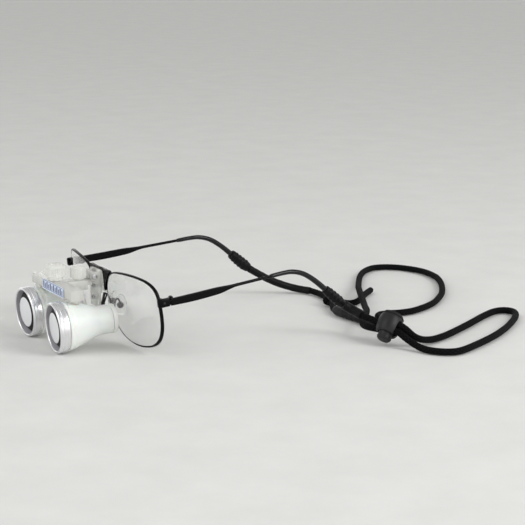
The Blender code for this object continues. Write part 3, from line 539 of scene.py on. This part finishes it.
# ---------------- spectacle front
# The middle of the rim's wire, as (across, height) on the wearer's left, closed by a smooth curve.
RIM_OUTLINE = (
    (8.3, 25.0), (9.4, 30.1), (11.6, 35.3), (14.4, 39.6), (18.8, 42.6), (26.5, 44.3),
    (38.0, 45.2), (49.0, 45.0), (58.0, 43.6), (64.0, 40.3), (66.6, 35.6), (67.3, 30.0),
    (67.2, 23.5), (65.7, 16.8), (62.2, 10.8), (56.4, 6.3), (48.0, 3.6), (38.9, 2.7),
    (30.0, 3.6), (22.0, 6.2), (15.2, 11.0), (10.6, 16.8), (8.7, 20.8),
)


def front_y(across, height):
    """How far back the rim and lens stand: wrapped round, leaning, and bowed like a shallow dish."""
    wrap = 0.13 * (across - 10.4)
    lean = 0.18 * (41.2 - height)
    bow = ((across - 37.5) ** 2 + (height - 23.0) ** 2) / 260 - 3.6
    return -7.6 + wrap + lean + bow


def rim_path(count):
    flat = smooth_path([(across, height, 0) for across, height in RIM_OUTLINE], 0.25, closed=True)
    picked = np.linspace(0, len(flat), count, endpoint=False).astype(int)
    return flat[picked][:, :2]


def make_rim(side, sign):
    """The rim: a flattened wire with softly rounded edges, standing deeper than it is wide."""
    outline = rim_path(170)
    path = shifted([(sign * x, front_y(x, z), z) for x, z in outline])
    tangent = np.roll(path, -1, axis=0) - np.roll(path, 1, axis=0)
    tangent /= np.linalg.norm(tangent, axis=1)[:, None]
    angles = np.arange(24) / 24 * 2 * math.pi
    wide, deep = squared(np.cos(angles), 0.75) * 0.5, squared(np.sin(angles), 0.75) * 0.9
    rows = []
    for centre, along in zip(path, tangent):
        back = np.array((0.0, 1.0, 0.0)) - along * along[1]
        back /= np.linalg.norm(back)
        across = np.cross(along, back)
        rows.append((centre + wide[:, None] * across + deep[:, None] * back) * MM)
    data = grid_mesh("rim_wire_" + side, rows, closed_rows=True)
    add("rim_wire_" + side, data, LACQUER, "frame", ("rim_" + side,))


def make_lens(side, sign):
    """The bowed lens: rings of points from its edge to its middle, on a front and a back layer."""
    outline = rim_path(120)
    middle = outline.mean(axis=0)
    reach = np.linalg.norm(outline - middle, axis=1)
    mould = bmesh.new()
    layers = []
    for depth in (-0.5 * LENS_THICKNESS, 0.5 * LENS_THICKNESS):
        rings = []
        for share in (1.0, 0.86, 0.66, 0.44, 0.2):
            inset = (reach - LENS_INSET) / reach * share
            flat = middle + (outline - middle) * inset[:, None]
            ring = shifted([(sign * x, front_y(x, z) + depth, z) for x, z in flat]) * MM
            rings.append([mould.verts.new(point) for point in ring])
        centre = shifted([(sign * middle[0], front_y(*middle) + depth, middle[1])])[0] * MM
        hub = mould.verts.new(centre)
        for near, far in zip(rings, rings[1:]):
            for index in range(len(near)):
                beside = (index + 1) % len(near)
                mould.faces.new((near[index], near[beside], far[beside], far[index]))
        for index in range(len(outline)):
            mould.faces.new((rings[-1][index], rings[-1][(index + 1) % len(outline)], hub))
        layers.append(rings[0])
    front, back = layers
    for index in range(len(front)):
        beside = (index + 1) % len(front)
        mould.faces.new((front[index], front[beside], back[beside], back[index]))
    bmesh.ops.recalc_face_normals(mould, faces=mould.faces)
    data = poured(mould, "lens_glass_" + side)
    add("lens_glass_" + side, data, SPECTACLE_GLASS, "frame", ("lens_" + side,))
    mark_sharp(data, 50)


def make_nose_pads(side, sign, short):
    """A bent wire arm with a solder foot, a little screw box and a soft pad with a metal core."""
    arm = [(9.6, -2.1, 17.4), (8.6, -1.3, 20.5), (8.0, -0.4, 23.6), (7.9, 0.6, 24.8), (8.2, 1.6, 23.8),
           (8.6, 2.4, 21.6)]
    path = smooth_path([(sign * x, y + FRONT_PLANE_Y, z) for x, y, z in arm], 0.4)
    width = np.interp(np.linspace(0, 1, len(path)), [0, 0.12, 0.25, 1], [0.62, 0.58, 0.48, 0.48])
    tube("pad_wire_" + side, path, width, LACQUER, "frame", ("pad_arm_" + side,), sides=14,
         domed=(True, True))
    pivot = at(sign * 7.0, 2.7, 20.4, Matrix.Rotation(sign * math.radians(-32), 3, 'Z'))
    body = "nose_pad_" + short
    rows = []
    for share in np.linspace(-1, 1, 25):
        size = math.sqrt(max(0.0, 1 - abs(share) ** 2.3))
        angles = np.linspace(0, 2 * math.pi, 32, endpoint=False)
        deep = np.cos(angles)
        thick = np.where(deep * sign < 0, 1.05, 0.75) * size ** 0.8
        wide = 3.6 * size * (1.0 - 0.18 * share)
        bend = 0.35 * (1 - share ** 2) * sign
        rows.append(np.column_stack([deep * thick + bend, np.sin(angles) * wide,
                                     np.full(len(angles), share * 6.3)]) * MM)
    data = grid_mesh("pad_soft_" + side, rows)
    data.transform(pivot @ Matrix.Translation(Vector((sign * -1.95 * MM, 0, 0))))
    add("pad_soft_" + side, data, SILICONE, body, ("nose_pad_" + side,))
    mark_sharp(data, 60)
    face = sideways(pivot, sign * -0.95, 0, sign)
    box = rounded([(0, 1.25), (1.55, 1.2), (1.95, 0.8), (1.95, -0.5), (0, -0.5)], 0.2)
    lathe("pad_box_" + side, box, GUNMETAL, body, (), face, sides=32, slot="dark_screw")
    screw = rounded([(0, 1.7), (0.6, 1.68), (0.7, 1.5), (0.7, 1.1), (0, 1.1)], 0.1)
    lathe("pad_screw_" + side, screw, GUNMETAL, body, (), face, sides=24, slot="dark_screw")


def make_bridge():
    """The top bar and the two tapered shoulders that are brazed down the rims' inner sides."""
    refined("bridge", "frame", LACQUER, bevel=0.35, segments=4, angle=35)
    bar = [(x, -7.3 + FRONT_PLANE_Y, 42.0 + 0.35 * (1 - (x / 5.4) ** 2)) for x in np.linspace(-5.4, 5.4, 25)]
    tube("bridge_bar", bar, 1.05, LACQUER, "frame", sides=20)


# ---------------- temples
# In the hinge's own frame: x, y, z, then half the width and height and how square the section is.
TEMPLE_STATIONS = (
    (2.5, -1.1, -0.2, 0.70, 2.10, 6), (2.4, 1.0, -0.3, 0.70, 2.15, 6), (1.4, 14.0, -0.6, 0.70, 2.30, 6),
    (0.3, 28.0, -0.5, 0.70, 2.15, 6), (-0.2, 33.0, -0.4, 0.75, 1.80, 5), (-0.6, 38.0, -0.1, 0.90, 1.20, 3),
    (-1.0, 42.5, 0.1, 0.95, 0.95, 2), (-1.9, 54.0, 0.1, 0.92, 0.92, 2), (-2.85, 66.4, 0.1, 0.88, 0.88, 2),
)
# x, y, z and the radius there, for the plastic tip and the rubber grip on it.
TIP_ROUTE = (
    (-2.8, 65.4, 0.1, 1.30), (-3.5, 74.5, 0.1, 1.35), (-4.0, 81.0, -0.6, 1.45), (-4.3, 88.0, -3.4, 1.55),
    (-4.6, 95.0, -8.9, 1.65), (-5.0, 103.0, -17.2, 1.75), (-5.2, 107.4, -22.0, 1.75),
)
GRIP_ROUTE = (
    (-4.95, 101.6, -15.7, 2.60), (-5.0, 103.0, -17.2, 2.75), (-5.1, 105.4, -19.8, 2.95),
    (-5.25, 108.2, -22.8, 3.10), (-5.4, 110.8, -25.4, 3.00), (-5.5, 112.6, -27.2, 2.60),
)


def hinge_matrix(sign):
    return at(sign * HINGE[0], HINGE[1], HINGE[2], Matrix.Rotation(HINGE_LEAN, 3, 'X'))


def hinge_points(route, sign):
    """Millimetres in the model's frame from a route in the hinge's own frame."""
    matrix = hinge_matrix(sign)
    moved = []
    for x, y, z, *extra in route:
        moved.append([*(matrix @ Vector((sign * x * MM, y * MM, z * MM)) / MM), *extra])
    return np.array(moved)


def make_temple(side, sign, short):
    """The flat bar, softly edged, running into a round wire inside the smoked plastic tip."""
    body = "temple_" + short
    stations = smooth_path(TEMPLE_STATIONS, 1.2)
    angles = (np.arange(40) + 0.5) / 40 * 2 * math.pi
    matrix = hinge_matrix(sign)
    rows = []
    for x, y, z, half_wide, half_high, power in stations:
        wide = squared(np.cos(angles), 2 / power) * half_wide
        high = squared(np.sin(angles), 2 / power) * half_high
        rows.append(np.column_stack([sign * (x + wide), np.full(len(angles), y), z + high]) * MM)
    data = grid_mesh("temple_bar_" + side, rows)
    data.transform(matrix)
    add("temple_bar_" + side, data, LACQUER, body, ("temple_" + side,))
    mark_sharp(data, 50)
    core = hinge_points(smooth_path([p[:3] for p in TIP_ROUTE], 1.5), sign)
    tube("temple_core_" + side, core[:-2], 0.5, GUNMETAL, body, sides=14, domed=(False, True))
    knuckle = rounded([(0, 0.65), (1.5, 0.65), (1.5, -0.65), (0, -0.65)], 0.12)
    lathe("temple_knuckle_" + side, knuckle, LACQUER, body, (), matrix, sides=40, slot="black_metal")
    ends = sorted((0.0, sign * 2.4))
    block("temple_leaf_" + side, (ends[0], -0.9, -0.63), (ends[1], 1.3, 0.63), LACQUER, body, matrix=matrix)
    route = hinge_points(smooth_path(TIP_ROUTE, 1.2), sign)
    radii = route[:, 3].copy()
    radii[:2] = (radii[0] * 0.86, radii[1] * 0.97)
    tube("temple_sleeve_" + side, route[:, :3], radii, SMOKED, body, ("temple_tip_" + side,), sides=28)
    route = hinge_points(smooth_path(GRIP_ROUTE, 0.3), sign)
    share = np.linspace(0, 1, len(route))
    ribs = 0.3 * np.maximum(0, np.sin(share * 2 * math.pi * 5.5)) * (share > 0.12) * (share < 0.8)
    size = np.minimum(route[:, 3], 3.1) - 0.05 + ribs + GRIP_EXTRA[side]
    size[:3] -= (0.35, 0.15, 0.05)
    tube("grip_rubber_" + side, route[:, :3], size, RUBBER, body, ("strap_grip_" + side,), sides=32)


def make_end_piece(side, sign):
    """The end piece, the lug that joins it to the rim, and the slotted screw that holds the temple."""
    refined("end_piece_" + side, "frame", LACQUER, bevel=0.22)
    inner, outer = sorted((sign * 66.9, sign * 69.3))
    block("rim_lug_" + side, (inner, -0.3, 32.9), (outer, 2.4, 36.1), LACQUER, "frame", 0.5,
          at(0, 0, 0))
    matrix = hinge_matrix(sign)
    slot_turn = matrix @ Matrix.Rotation(math.radians(35), 4, 'Z')
    screw = rounded([(0, 2.75), (0.8, 2.7), (1.0, 2.55), (1.0, 2.45), (0.55, 2.4), (0.55, -2.4),
                     (0, -2.4)], 0.05)
    lathe("hinge_pin_" + side, screw, GUNMETAL, "frame", ("hinge_screw_" + side,), matrix, sides=32)
    # The head has no groove: a black bar inlaid where the slot is gives its recess as painted shade.
    block("hinge_slot_shade_" + side, (-0.72, -0.12, 2.64), (0.72, 0.12, 2.77), MATTE_BLACK, "frame", 0.03,
          slot_turn)
    rivet = rounded([(0, 0.18), (0.55, 0.14), (0.75, 0.0), (0.75, -0.3), (0, -0.3)], 0.08)
    lathe("end_rivet_" + side, rivet, GUNMETAL, "frame", (), sideways(matrix, sign * 3.5, -5.3, sign),
          sides=28, slot="dark_screw")


# ---------------- bracket and flip hinge
def knurl(count, depth, low, high, least):
    """Flutes round a knob between two heights."""
    def relief(radius, height, angles):
        if not low <= height <= high or radius < least:
            return np.zeros(len(angles))
        return -depth * (0.5 + 0.5 * np.cos(angles * count)) ** 2
    return relief


def fine_profile(profile, step=0.35):
    """Adds points along straight runs, so relief follows the height."""
    result = [np.array(profile[0], dtype=float)]
    for point in profile[1:]:
        point = np.array(point, dtype=float)
        run = np.linalg.norm(point - result[-1])
        count = max(1, int(run / step))
        start = result[-1]
        for t in np.linspace(0, 1, count + 1)[1:]:
            result.append(start + (point - start) * t)
    return result


def pan_screw(which, z, length):
    """A cross-headed bracket screw."""
    matrix = at(0, -11.9, z, turn_to((0, -1, 0), UP))
    profile = rounded([(0, 1.0), (1.05, 0.9), (1.5, 0.45), (1.5, 0.0), (0.8, -0.05), (0.8, -length),
                       (0, -length)], 0.12)
    lathe(which + "_screw", profile, STEEL, "frame", ("bracket_screw_" + which,), matrix, sides=40)
    # The head has no recess: two black bars inlaid in a cross give it as painted shade.
    for index, turn in enumerate((20, 110)):
        cross = matrix @ Matrix.Rotation(math.radians(turn), 4, 'Z')
        block(f"{which}_screw_cross_shade_{index}", (-0.85, -0.14, 0.86), (0.85, 0.14, 1.03), MATTE_BLACK,
              "frame", 0.03, cross)


def make_bracket():
    refined("bracket", "frame", CLEAR, bevel=0.3)
    refined("clamp_plate", "frame", CLEAR, bevel=0.25)
    pan_screw("upper", 32.4, 7.9)
    pan_screw("lower", 25.6, 4.0)
    refined("release_base", "frame", BLACK_PLASTIC)
    refined("release_lever", "release_lever_body", BLACK_PLASTIC)
    pivot = at(0, -6.5, 20.4, turn_to((1, 0, 0), UP))
    lathe("release_axle", rounded([(0, 2.5), (0.4, 2.5), (0.4, -2.5), (0, -2.5)], 0.08), STEEL, "frame",
          ("release_pin",), pivot, sides=24)


def make_flip_unit():
    refined("flip_arm", "flip_unit", CLEAR, bevel=0.3)
    pin = rounded([(0, 6.9), (1.3, 6.8), (1.5, 6.4), (1.0, 6.3), (1.0, -6.6), (0, -6.6)], 0.12)
    lathe("flip_axle", pin, STEEL, "frame", ("flip_pin",),
          at(0, FLIP_Y, FLIP_Z, turn_to((1, 0, 0), UP)), sides=40)
    head = [(0, 45.2), (3.0, 45.15), (4.4, 44.5), (4.9, 43.3), (4.9, 38.6), (4.5, 38.0), (3.4, 37.9),
            (3.4, 37.2), (1.5, 37.15), (1.5, 29.4), (0, 29.4)]
    lathe("arm_knob_fine", fine_profile(rounded(head, 0.4)), CLEAR, "arm_knob_body", ("arm_knob",),
          at(0, ARM_SCREW_Y, 0), sides=192, relief=knurl(24, 0.28, 38.7, 43.8, 4.6))
    refined("crossbar", "flip_unit", CLEAR, bevel=0.35)
    wheel = [(0, 46.9), (3.4, 46.9), (3.9, 47.5), (4.8, 47.4), (5.9, 46.7), (6.3, 45.6), (6.3, 41.0),
             (5.8, 40.2), (4.2, 40.0), (4.2, 37.9), (1.35, 37.8), (1.35, 35.4), (0.75, 35.3),
             (0.75, 31.6), (0, 31.6)]
    lathe("pd_knob_fine", fine_profile(rounded(wheel, 0.35)), CLEAR, "pd_knob_body", ("pd_knob",),
          at(0, PINION_Y, 0), sides=240, relief=knurl(30, 0.32, 41.2, 45.7, 6.0))
    make_scale()


def make_scale():
    """The spacing scale on the crossbar's face: a pale card with plain ruled marks."""
    refined("scale_plate", "flip_unit", SCALE_BLUE, bevel=0.05)

    def mark(name, left, right, low, high):
        block(name, (left, -39.4 - 0.07, low), (right, -39.4 + 0.05, high), SCALE_INK, "flip_unit", 0.02,
              at(0, 0, 0))

    for index in range(12):
        x = -9.9 + index * 2.7
        tall, half = ((3.6, 0.75), (2.6, 0.5))[index % 2]
        mark(f"scale_mark_{index:02d}", x - half, x + half, 32.5, 32.5 + tall)
    for name, low in (("scale_rule", 31.95), ("scale_edge", 36.5)):
        mark(name, -11.5, 21.0, low, low + 0.25)


# ---------------- telescopes
def make_barrel(side, sign, short):
    """One telescope, spun about its own sight line; heights run backwards from the front ring's face."""
    forward = Vector((-sign * math.sin(CONVERGE), -math.cos(CONVERGE) * math.cos(DECLINE),
                      -math.sin(DECLINE)))
    matrix = at(sign * BARREL[0], BARREL[1], BARREL[2], turn_to(forward, UP))
    body = "barrel_" + short

    def spin(name, profile, finish, node="", corner=0.0, steps=3, **settings):
        closed = corner > 0 or "slot" in settings
        if corner:
            profile = rounded(profile, corner, steps, closed=True)
        lathe(name + side, profile, finish, body, (node + side,) if node else (), matrix, closed=closed,
              **settings)

    spin("ring_", [
        (13.3, -0.45), (13.7, -0.02), (14.4, -0.12), (14.95, -0.8), (14.95, -2.2), (14.8, -2.35),
        (14.8, -2.6), (14.95, -2.75), (14.95, -5.9), (14.7, -6.3), (13.75, -6.3), (13.75, -3.0),
        (13.3, -3.0)], SILVER, "front_ring_", 0.22, sides=128)
    # The inner wall is darker grey than the ring: painted shade in the recess.
    spin("ring_wall_", [(13.28, -0.5), (12.3, -3.4), (13.28, -3.4)], RING_WALL_SHADE, slot="satin_silver")
    # A black cone round the objective's plateau: painted dark reflection that stands in for the dark
    # crescent in the lens.
    spin("lens_dark_flank_", [(9.0, -0.82), (9.4, -1.0), (12.25, -3.3), (12.25, -3.6), (9.0, -3.6)], MATTE_BLACK,
         corner=0.1, slot="baffle_black")
    spin("objective_", [
        (0, -0.3), (2.5, -0.34), (5.0, -0.46), (7.2, -0.6), (8.8, -0.78), (8.96, -0.9), (8.96, -3.7),
        (13.3, -3.7), (13.3, -5.3), (9.0, -5.2), (0, -5.0)], OBJECTIVE_GLASS, "front_lens_")
    spin("baffle_fine_", [(11.7, -5.7), (11.4, -11.0), (10.6, -11.0), (10.8, -5.7)], MATTE_BLACK, "baffle_",
         0.1, sides=80)
    spin("shell_", [
        (13.4, -5.7), (13.4, -6.6), (14.45, -6.65), (14.45, -8.4), (13.9, -8.7), (13.75, -11.2),
        (13.3, -12.6), (8.9, -25.5), (8.5, -27.5), (8.5, -33.2), (8.3, -33.4), (8.3, -33.8),
        (8.5, -34.0), (8.5, -34.6), (7.2, -34.6), (7.2, -27.0), (12.0, -12.0), (12.3, -5.7)],
         IVORY, "barrel_shell_", 0.5, steps=5, sides=128)
    spin("eye_glass_", [(0, -32.0), (3.5, -31.75), (6.8, -31.2), (6.8, -33.4), (0, -33.4)],
         OBJECTIVE_GLASS, "eye_lens_", sides=64)
    spin("eye_cup_", [
        (6.0, -34.9), (8.4, -34.9), (8.6, -35.3), (8.6, -37.0), (8.2, -37.5), (6.4, -37.5)],
         IVORY, "eye_ring_", 0.25, relief=knurl(48, 0.12, -37.0, -35.3, 8.0))
    refined("slider_" + side, body, CLEAR, bevel=0.2)


# ---------------- head strap
LOCK_THROUGH = Vector((math.cos(LOCK_HEADING), math.sin(LOCK_HEADING), 0))
LOCK_UP = Vector((-math.sin(LOCK_HEADING) * math.cos(LOCK_DIP), math.cos(LOCK_HEADING) * math.cos(LOCK_DIP),
                  math.sin(LOCK_DIP)))


def lock_point(along, above):
    return tuple(LOCK_CENTRE + LOCK_THROUGH * along + LOCK_UP * (HOLE_MIDDLE + above))


# The middle of each stretch of the strap as it lies, in millimetres of the front's own frame.
ROUTES = {
    "strap_sleeve_left": [
        (63.0, 123.5, 19.2), (63.6, 126.6, 17.2), (66.6, 129.2, 15.3), (72.2, 131.0, 13.8)],
    "strap_cord_lead": [
        (72.9, 131.1, 13.7), (80.0, 132.5, 12.9), lock_point(-8.6, STRAND), lock_point(-5.2, STRAND)],
    "strap_sleeve_right": [
        (-62.9, 122.9, 19.5), (-62.8, 129.0, 15.8), (-62.8, 138.0, 10.6), (-62.0, 147.0, 6.5),
        (-59.5, 155.5, 3.6), (-55.5, 160.6, 2.6), (-51.0, 163.3, 2.6)],
    "strap_cord_outer": [
        (-50.2, 163.6, 2.5), (-42.0, 164.9, 2.2), (-32.0, 164.0, 2.2), (-24.0, 162.1, 2.6),
        (-18.3, 160.2, 3.3)],
    "strap_cord_inner": [
        (-8.1, 155.9, 3.3), (-2.0, 152.9, 2.6), (4.0, 149.9, 2.6), (9.9, 148.2, 3.0)],
    "strap_sleeve_lower": [
        (10.4, 148.1, 3.1), (20.0, 147.8, 3.1), (34.0, 149.0, 3.1), (47.0, 150.4, 3.1), (60.5, 150.8, 3.1)],
    "strap_cord_loop": [
        (62.0, 150.9, 2.9), (66.8, 152.0, 2.4), (69.4, 155.8, 2.1), (66.6, 159.6, 2.1), (59.0, 161.0, 2.1),
        (47.0, 161.2, 2.1), (36.5, 163.6, 2.1), (30.8, 168.0, 2.1), (30.2, 175.0, 2.1), (32.0, 184.0, 2.1),
        (29.3, 196.7, 2.1), (17.5, 216.2, 2.1), (-0.7, 233.8, 2.1), (-14.2, 243.8, 2.1),
        (-27.9, 252.2, 2.1), (-41.0, 259.0, 2.1), (-55.0, 264.4, 2.1), (-73.1, 266.6, 2.1),
        (-89.2, 261.9, 2.1), (-99.4, 252.8, 2.1), (-101.2, 241.5, 2.1), (-92.9, 229.4, 2.1),
        (-79.5, 218.3, 2.1), (-62.0, 207.0, 2.1), (-46.5, 197.8, 3.9), (-33.0, 189.9, 5.6),
        (-19.9, 182.9, 6.7), (-6.0, 175.8, 7.1), (4.6, 170.8, 6.8), (16.9, 164.9, 6.4), (26.5, 160.0, 6.9),
        (34.6, 156.0, 7.7), (42.0, 151.9, 8.6), (50.0, 146.8, 9.1), (58.0, 140.5, 9.0), (66.0, 134.9, 8.5),
        (73.0, 131.4, 8.2), (80.0, 130.3, 8.5), lock_point(-8.6, -STRAND), lock_point(-5.2, -STRAND)],
    "strap_cord_bight": [
        lock_point(5.2, -STRAND), lock_point(8.2, -STRAND), (106.9, 139.2, 6.9), (112.6, 141.5, 4.2),
        (119.2, 143.7, 2.3), (127.4, 147.0, 2.1), (133.2, 154.2, 2.1), (132.6, 163.0, 2.1),
        (122.8, 181.2, 2.1), (113.0, 197.0, 2.1), (103.4, 210.0, 2.1), (91.3, 224.2, 2.1),
        (73.8, 241.2, 2.1), (62.6, 247.6, 2.1), (56.2, 245.4, 2.1), (55.8, 238.0, 2.1), (63.2, 224.8, 2.1),
        (78.6, 202.9, 2.1), (94.0, 179.4, 2.1), (101.0, 166.0, 2.1), (104.6, 157.4, 2.8),
        (107.4, 149.8, 4.6), (107.2, 144.8, 7.2), (104.4, 142.4, 10.2), lock_point(7.8, STRAND),
        lock_point(5.2, STRAND)],
    "strap_cord_tail": [
        (-10.3, 162.6, 3.2), (-7.0, 166.2, 2.3), (-7.0, 171.2, 2.1), (-10.8, 177.0, 2.1),
        (-17.2, 182.9, 2.1), (-26.6, 191.2, 2.1), (-36.0, 200.9, 2.1)],
}


LEAD_START, OUTER_START = (71.5, 130.8, 14.0), (-51.7, 163.1, 2.55)  # inside the sleeves' ends
KNOT_ENTRY, LOWER_EXIT = tuple(KNOT_CENTRE - Vector((0, 0, 0.6))), (61.2, 150.8, 3.0)


def plait(along, around):
    """The relief of crossing strands, in millimetres."""
    rising = along / BRAID_PICK + around * BRAID_STRANDS
    falling = along / BRAID_PICK - around * BRAID_STRANDS
    crossing = np.abs(np.sin(math.pi * rising)) * np.abs(np.sin(math.pi * falling))
    return 0.2 * np.sqrt(crossing) - 0.14


def path_length(path):
    return float(np.linalg.norm(np.diff(path[:, :3], axis=0), axis=1).sum())


def make_cord(name, route, replaced, domed=(False, False)):
    """A length of braided cord, hung on the frame's body."""
    path = relaxed(shifted(smooth_path(route, CORD_STEP)), SMOOTHING)
    made = tube(name, path, CORD_RADIUS, BRAID, "frame", replaced, relief=plait, domed=domed)
    return made


def make_sleeve(name, declared=False):
    """Heat-shrunk rubber over the cord, necked in a little at its mouths."""
    radius = SLEEVE_RADIUS[name]
    path = relaxed(shifted(smooth_path(ROUTES[name], SLEEVE_STEP)), SMOOTHING)
    along = np.linspace(0, 1, len(path)) * path_length(path)
    size = np.full(len(path), radius)
    size -= MOUTH_NECK * np.exp(-along / MOUTH_FADE) + MOUTH_NECK * np.exp(-(along[-1] - along) / MOUTH_FADE)
    size += 0.06 * np.sin(along * 0.9) * np.sin(along * 0.37 + 1)
    made = tube(name + "_fine", path, size, RUBBER, "frame" if declared else None, (name,), sides=32)
    return made, path


def make_knot():
    """An overhand knot pulled tight where the tail joins the strap."""
    heading = math.radians(-24)
    points = []
    for t in np.linspace(0, 2 * math.pi, 120, endpoint=False):
        x = 1.35 * (math.sin(t) + 2 * math.sin(2 * t))
        y = 1.2 * (math.cos(t) - 2 * math.cos(2 * t))
        points.append((KNOT_CENTRE.x + (x * math.cos(heading) - y * math.sin(heading)),
                       KNOT_CENTRE.y + (x * math.sin(heading) + y * math.cos(heading)),
                       KNOT_CENTRE.z - 0.05 - 1.75 * math.sin(3 * t)))
    return tube("knot_turns", shifted(points), 2.0, BRAID, "frame", ("strap_knot",), sides=20, closed=True,
                relief=plait)


def make_lock():
    """The barrel lock: a ribbed body with a hole through it, its push button and the spring between."""
    matrix = at(*LOCK_CENTRE, turn_to(LOCK_UP, LOCK_UP.cross(LOCK_THROUGH)))
    refined("lock_body", "frame", LOCK_PLASTIC, bevel=0.3, angle=40)
    for index, (size, height) in enumerate(((5.75, 6.75), (6.65, 5.6))):
        hoop = rounded([(size - 0.25, height + 0.35), (size + 0.18, height + 0.22),
                        (size + 0.34, height - 0.22), (size - 0.1, height - 0.4)], 0.12, closed=True)
        lathe(f"lock_hoop_{index}", hoop, LOCK_PLASTIC, "frame", (), matrix, sides=80, closed=True,
              slot="black_plastic")
    refined("lock_button", "lock_button_body", LOCK_PLASTIC, bevel=0.25, angle=40)
    groove = rounded([(4.2, -8.3), (4.46, -8.42), (4.46, -8.7), (4.2, -8.8)], 0.06, closed=True)
    lathe("button_hoop", groove, LOCK_PLASTIC, "lock_button_body", (), matrix, sides=64, closed=True,
          slot="black_plastic")
    spring, radius, turns = [], 3.3, 2.5
    for t in np.linspace(0, 1, 90):
        angle = 2 * math.pi * turns * t
        local = Vector((radius * math.cos(angle), radius * math.sin(angle), 3.15 + 2.95 * t)) * MM
        spring.append(tuple((matrix @ local) / MM))
    coil = tube("lock_coil", spring, 0.25, STEEL, None, ("lock_spring",), sides=10)
    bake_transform(coil)


def make_strap():
    """The cord from the left temple to the right one and back through the lock, with its sleeves."""
    bare = make_cord("cord_lead", [LEAD_START] + ROUTES["strap_cord_lead"], ("strap_cord_lead",))
    make_cord("cord_bight", ROUTES["strap_cord_bight"], ("strap_cord_bight",))
    knot = make_knot()
    across = [OUTER_START, *ROUTES["strap_cord_outer"], KNOT_ENTRY, *ROUTES["strap_cord_inner"],
              *ROUTES["strap_sleeve_lower"][1:4], LOWER_EXIT]
    make_cord("cord_loop", across + ROUTES["strap_cord_loop"][1:],
              ("strap_cord_outer", "strap_cord_inner", "strap_cord_loop"))
    make_cord("cord_tail", ROUTES["strap_cord_tail"], ("strap_cord_tail",), domed=(False, True))
    make_sleeve("strap_sleeve_lower", declared=True)
    for side, _, short in SIDES:
        made, path = make_sleeve("strap_sleeve_" + side)
        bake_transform(made)


# ---------------- stage
FLOOR_SIZE, FLOOR_HEIGHT = 14.0, -0.0003  # metres, as the lamps
SKY = ((0.0, 1.3), (0.25, 1.2), (0.45, 0.42), (1.0, 0.55))
LAMPS = (("key", (1.28, 0.77, 0.95), 0.8, 13.0), ("fill", (0.2, -1.5, 1.3), 1.2, 9.0))
LAMP_TARGET = (0.03, 0.03, 0.02)


def make_stage():
    """Pale paper under the object, a soft sky and two area lamps."""
    mould = bmesh.new()
    bmesh.ops.create_grid(mould, x_segments=1, y_segments=1, size=FLOOR_SIZE)
    data = poured(mould, "floor")
    floor = bpy.data.objects.new("floor", data)
    floor.location = (0, 0, FLOOR_HEIGHT)
    paper = Surface("pale_backdrop")
    vector = paper.place("Object")
    mottle = paper.noise(vector, 26.0, 7.0, 0.62)
    paper.colour(paper.ramp(mottle, [(0.3, (0.735, 0.735, 0.72)), (0.7, (0.785, 0.785, 0.77))]))
    paper.roughness(paper.spread(mottle, 0.8, 0.95))
    paper.relief(paper.noise(vector, 900.0, 3.0), 0.15, 0.25)
    data.materials.append(paper.material)
    bpy.context.scene.collection.objects.link(floor)

    world = bpy.data.worlds.new("studio")
    world.use_nodes = True
    nodes, links = world.node_tree.nodes, world.node_tree.links
    coordinates, split = nodes.new("ShaderNodeTexCoord"), nodes.new("ShaderNodeSeparateXYZ")
    sky = nodes.new("ShaderNodeValToRGB")
    for index, (position, level) in enumerate(SKY):
        stop = sky.color_ramp.elements[index] if index < 2 else sky.color_ramp.elements.new(position)
        stop.position, stop.color = position, (level, level, level * 0.985, 1.0)
    links.new(coordinates.outputs["Generated"], split.inputs["Vector"])
    links.new(split.outputs["Z"], sky.inputs["Fac"])
    links.new(sky.outputs["Color"], nodes["Background"].inputs["Color"])
    nodes["Background"].inputs["Strength"].default_value = 1.0
    bpy.context.scene.world = world
    bpy.context.scene.view_settings.view_transform = 'Standard'
    for name, place, size, power in LAMPS:
        glow = bpy.data.lights.new(name, 'AREA')
        glow.size = size
        glow.energy = power
        lamp = bpy.data.objects.new(name, glow)
        lamp.location = place
        bpy.context.scene.collection.objects.link(lamp)
        aim(lamp, LAMP_TARGET)


def main():
    make_strap()
    make_lock()
    make_bridge()
    make_bracket()
    make_flip_unit()
    for side, sign, short in SIDES:
        make_rim(side, sign)
        make_lens(side, sign)
        make_nose_pads(side, sign, short)
        make_end_piece(side, sign)
        make_temple(side, sign, short)
        make_barrel(side, sign, short)
    make_stage()


main()
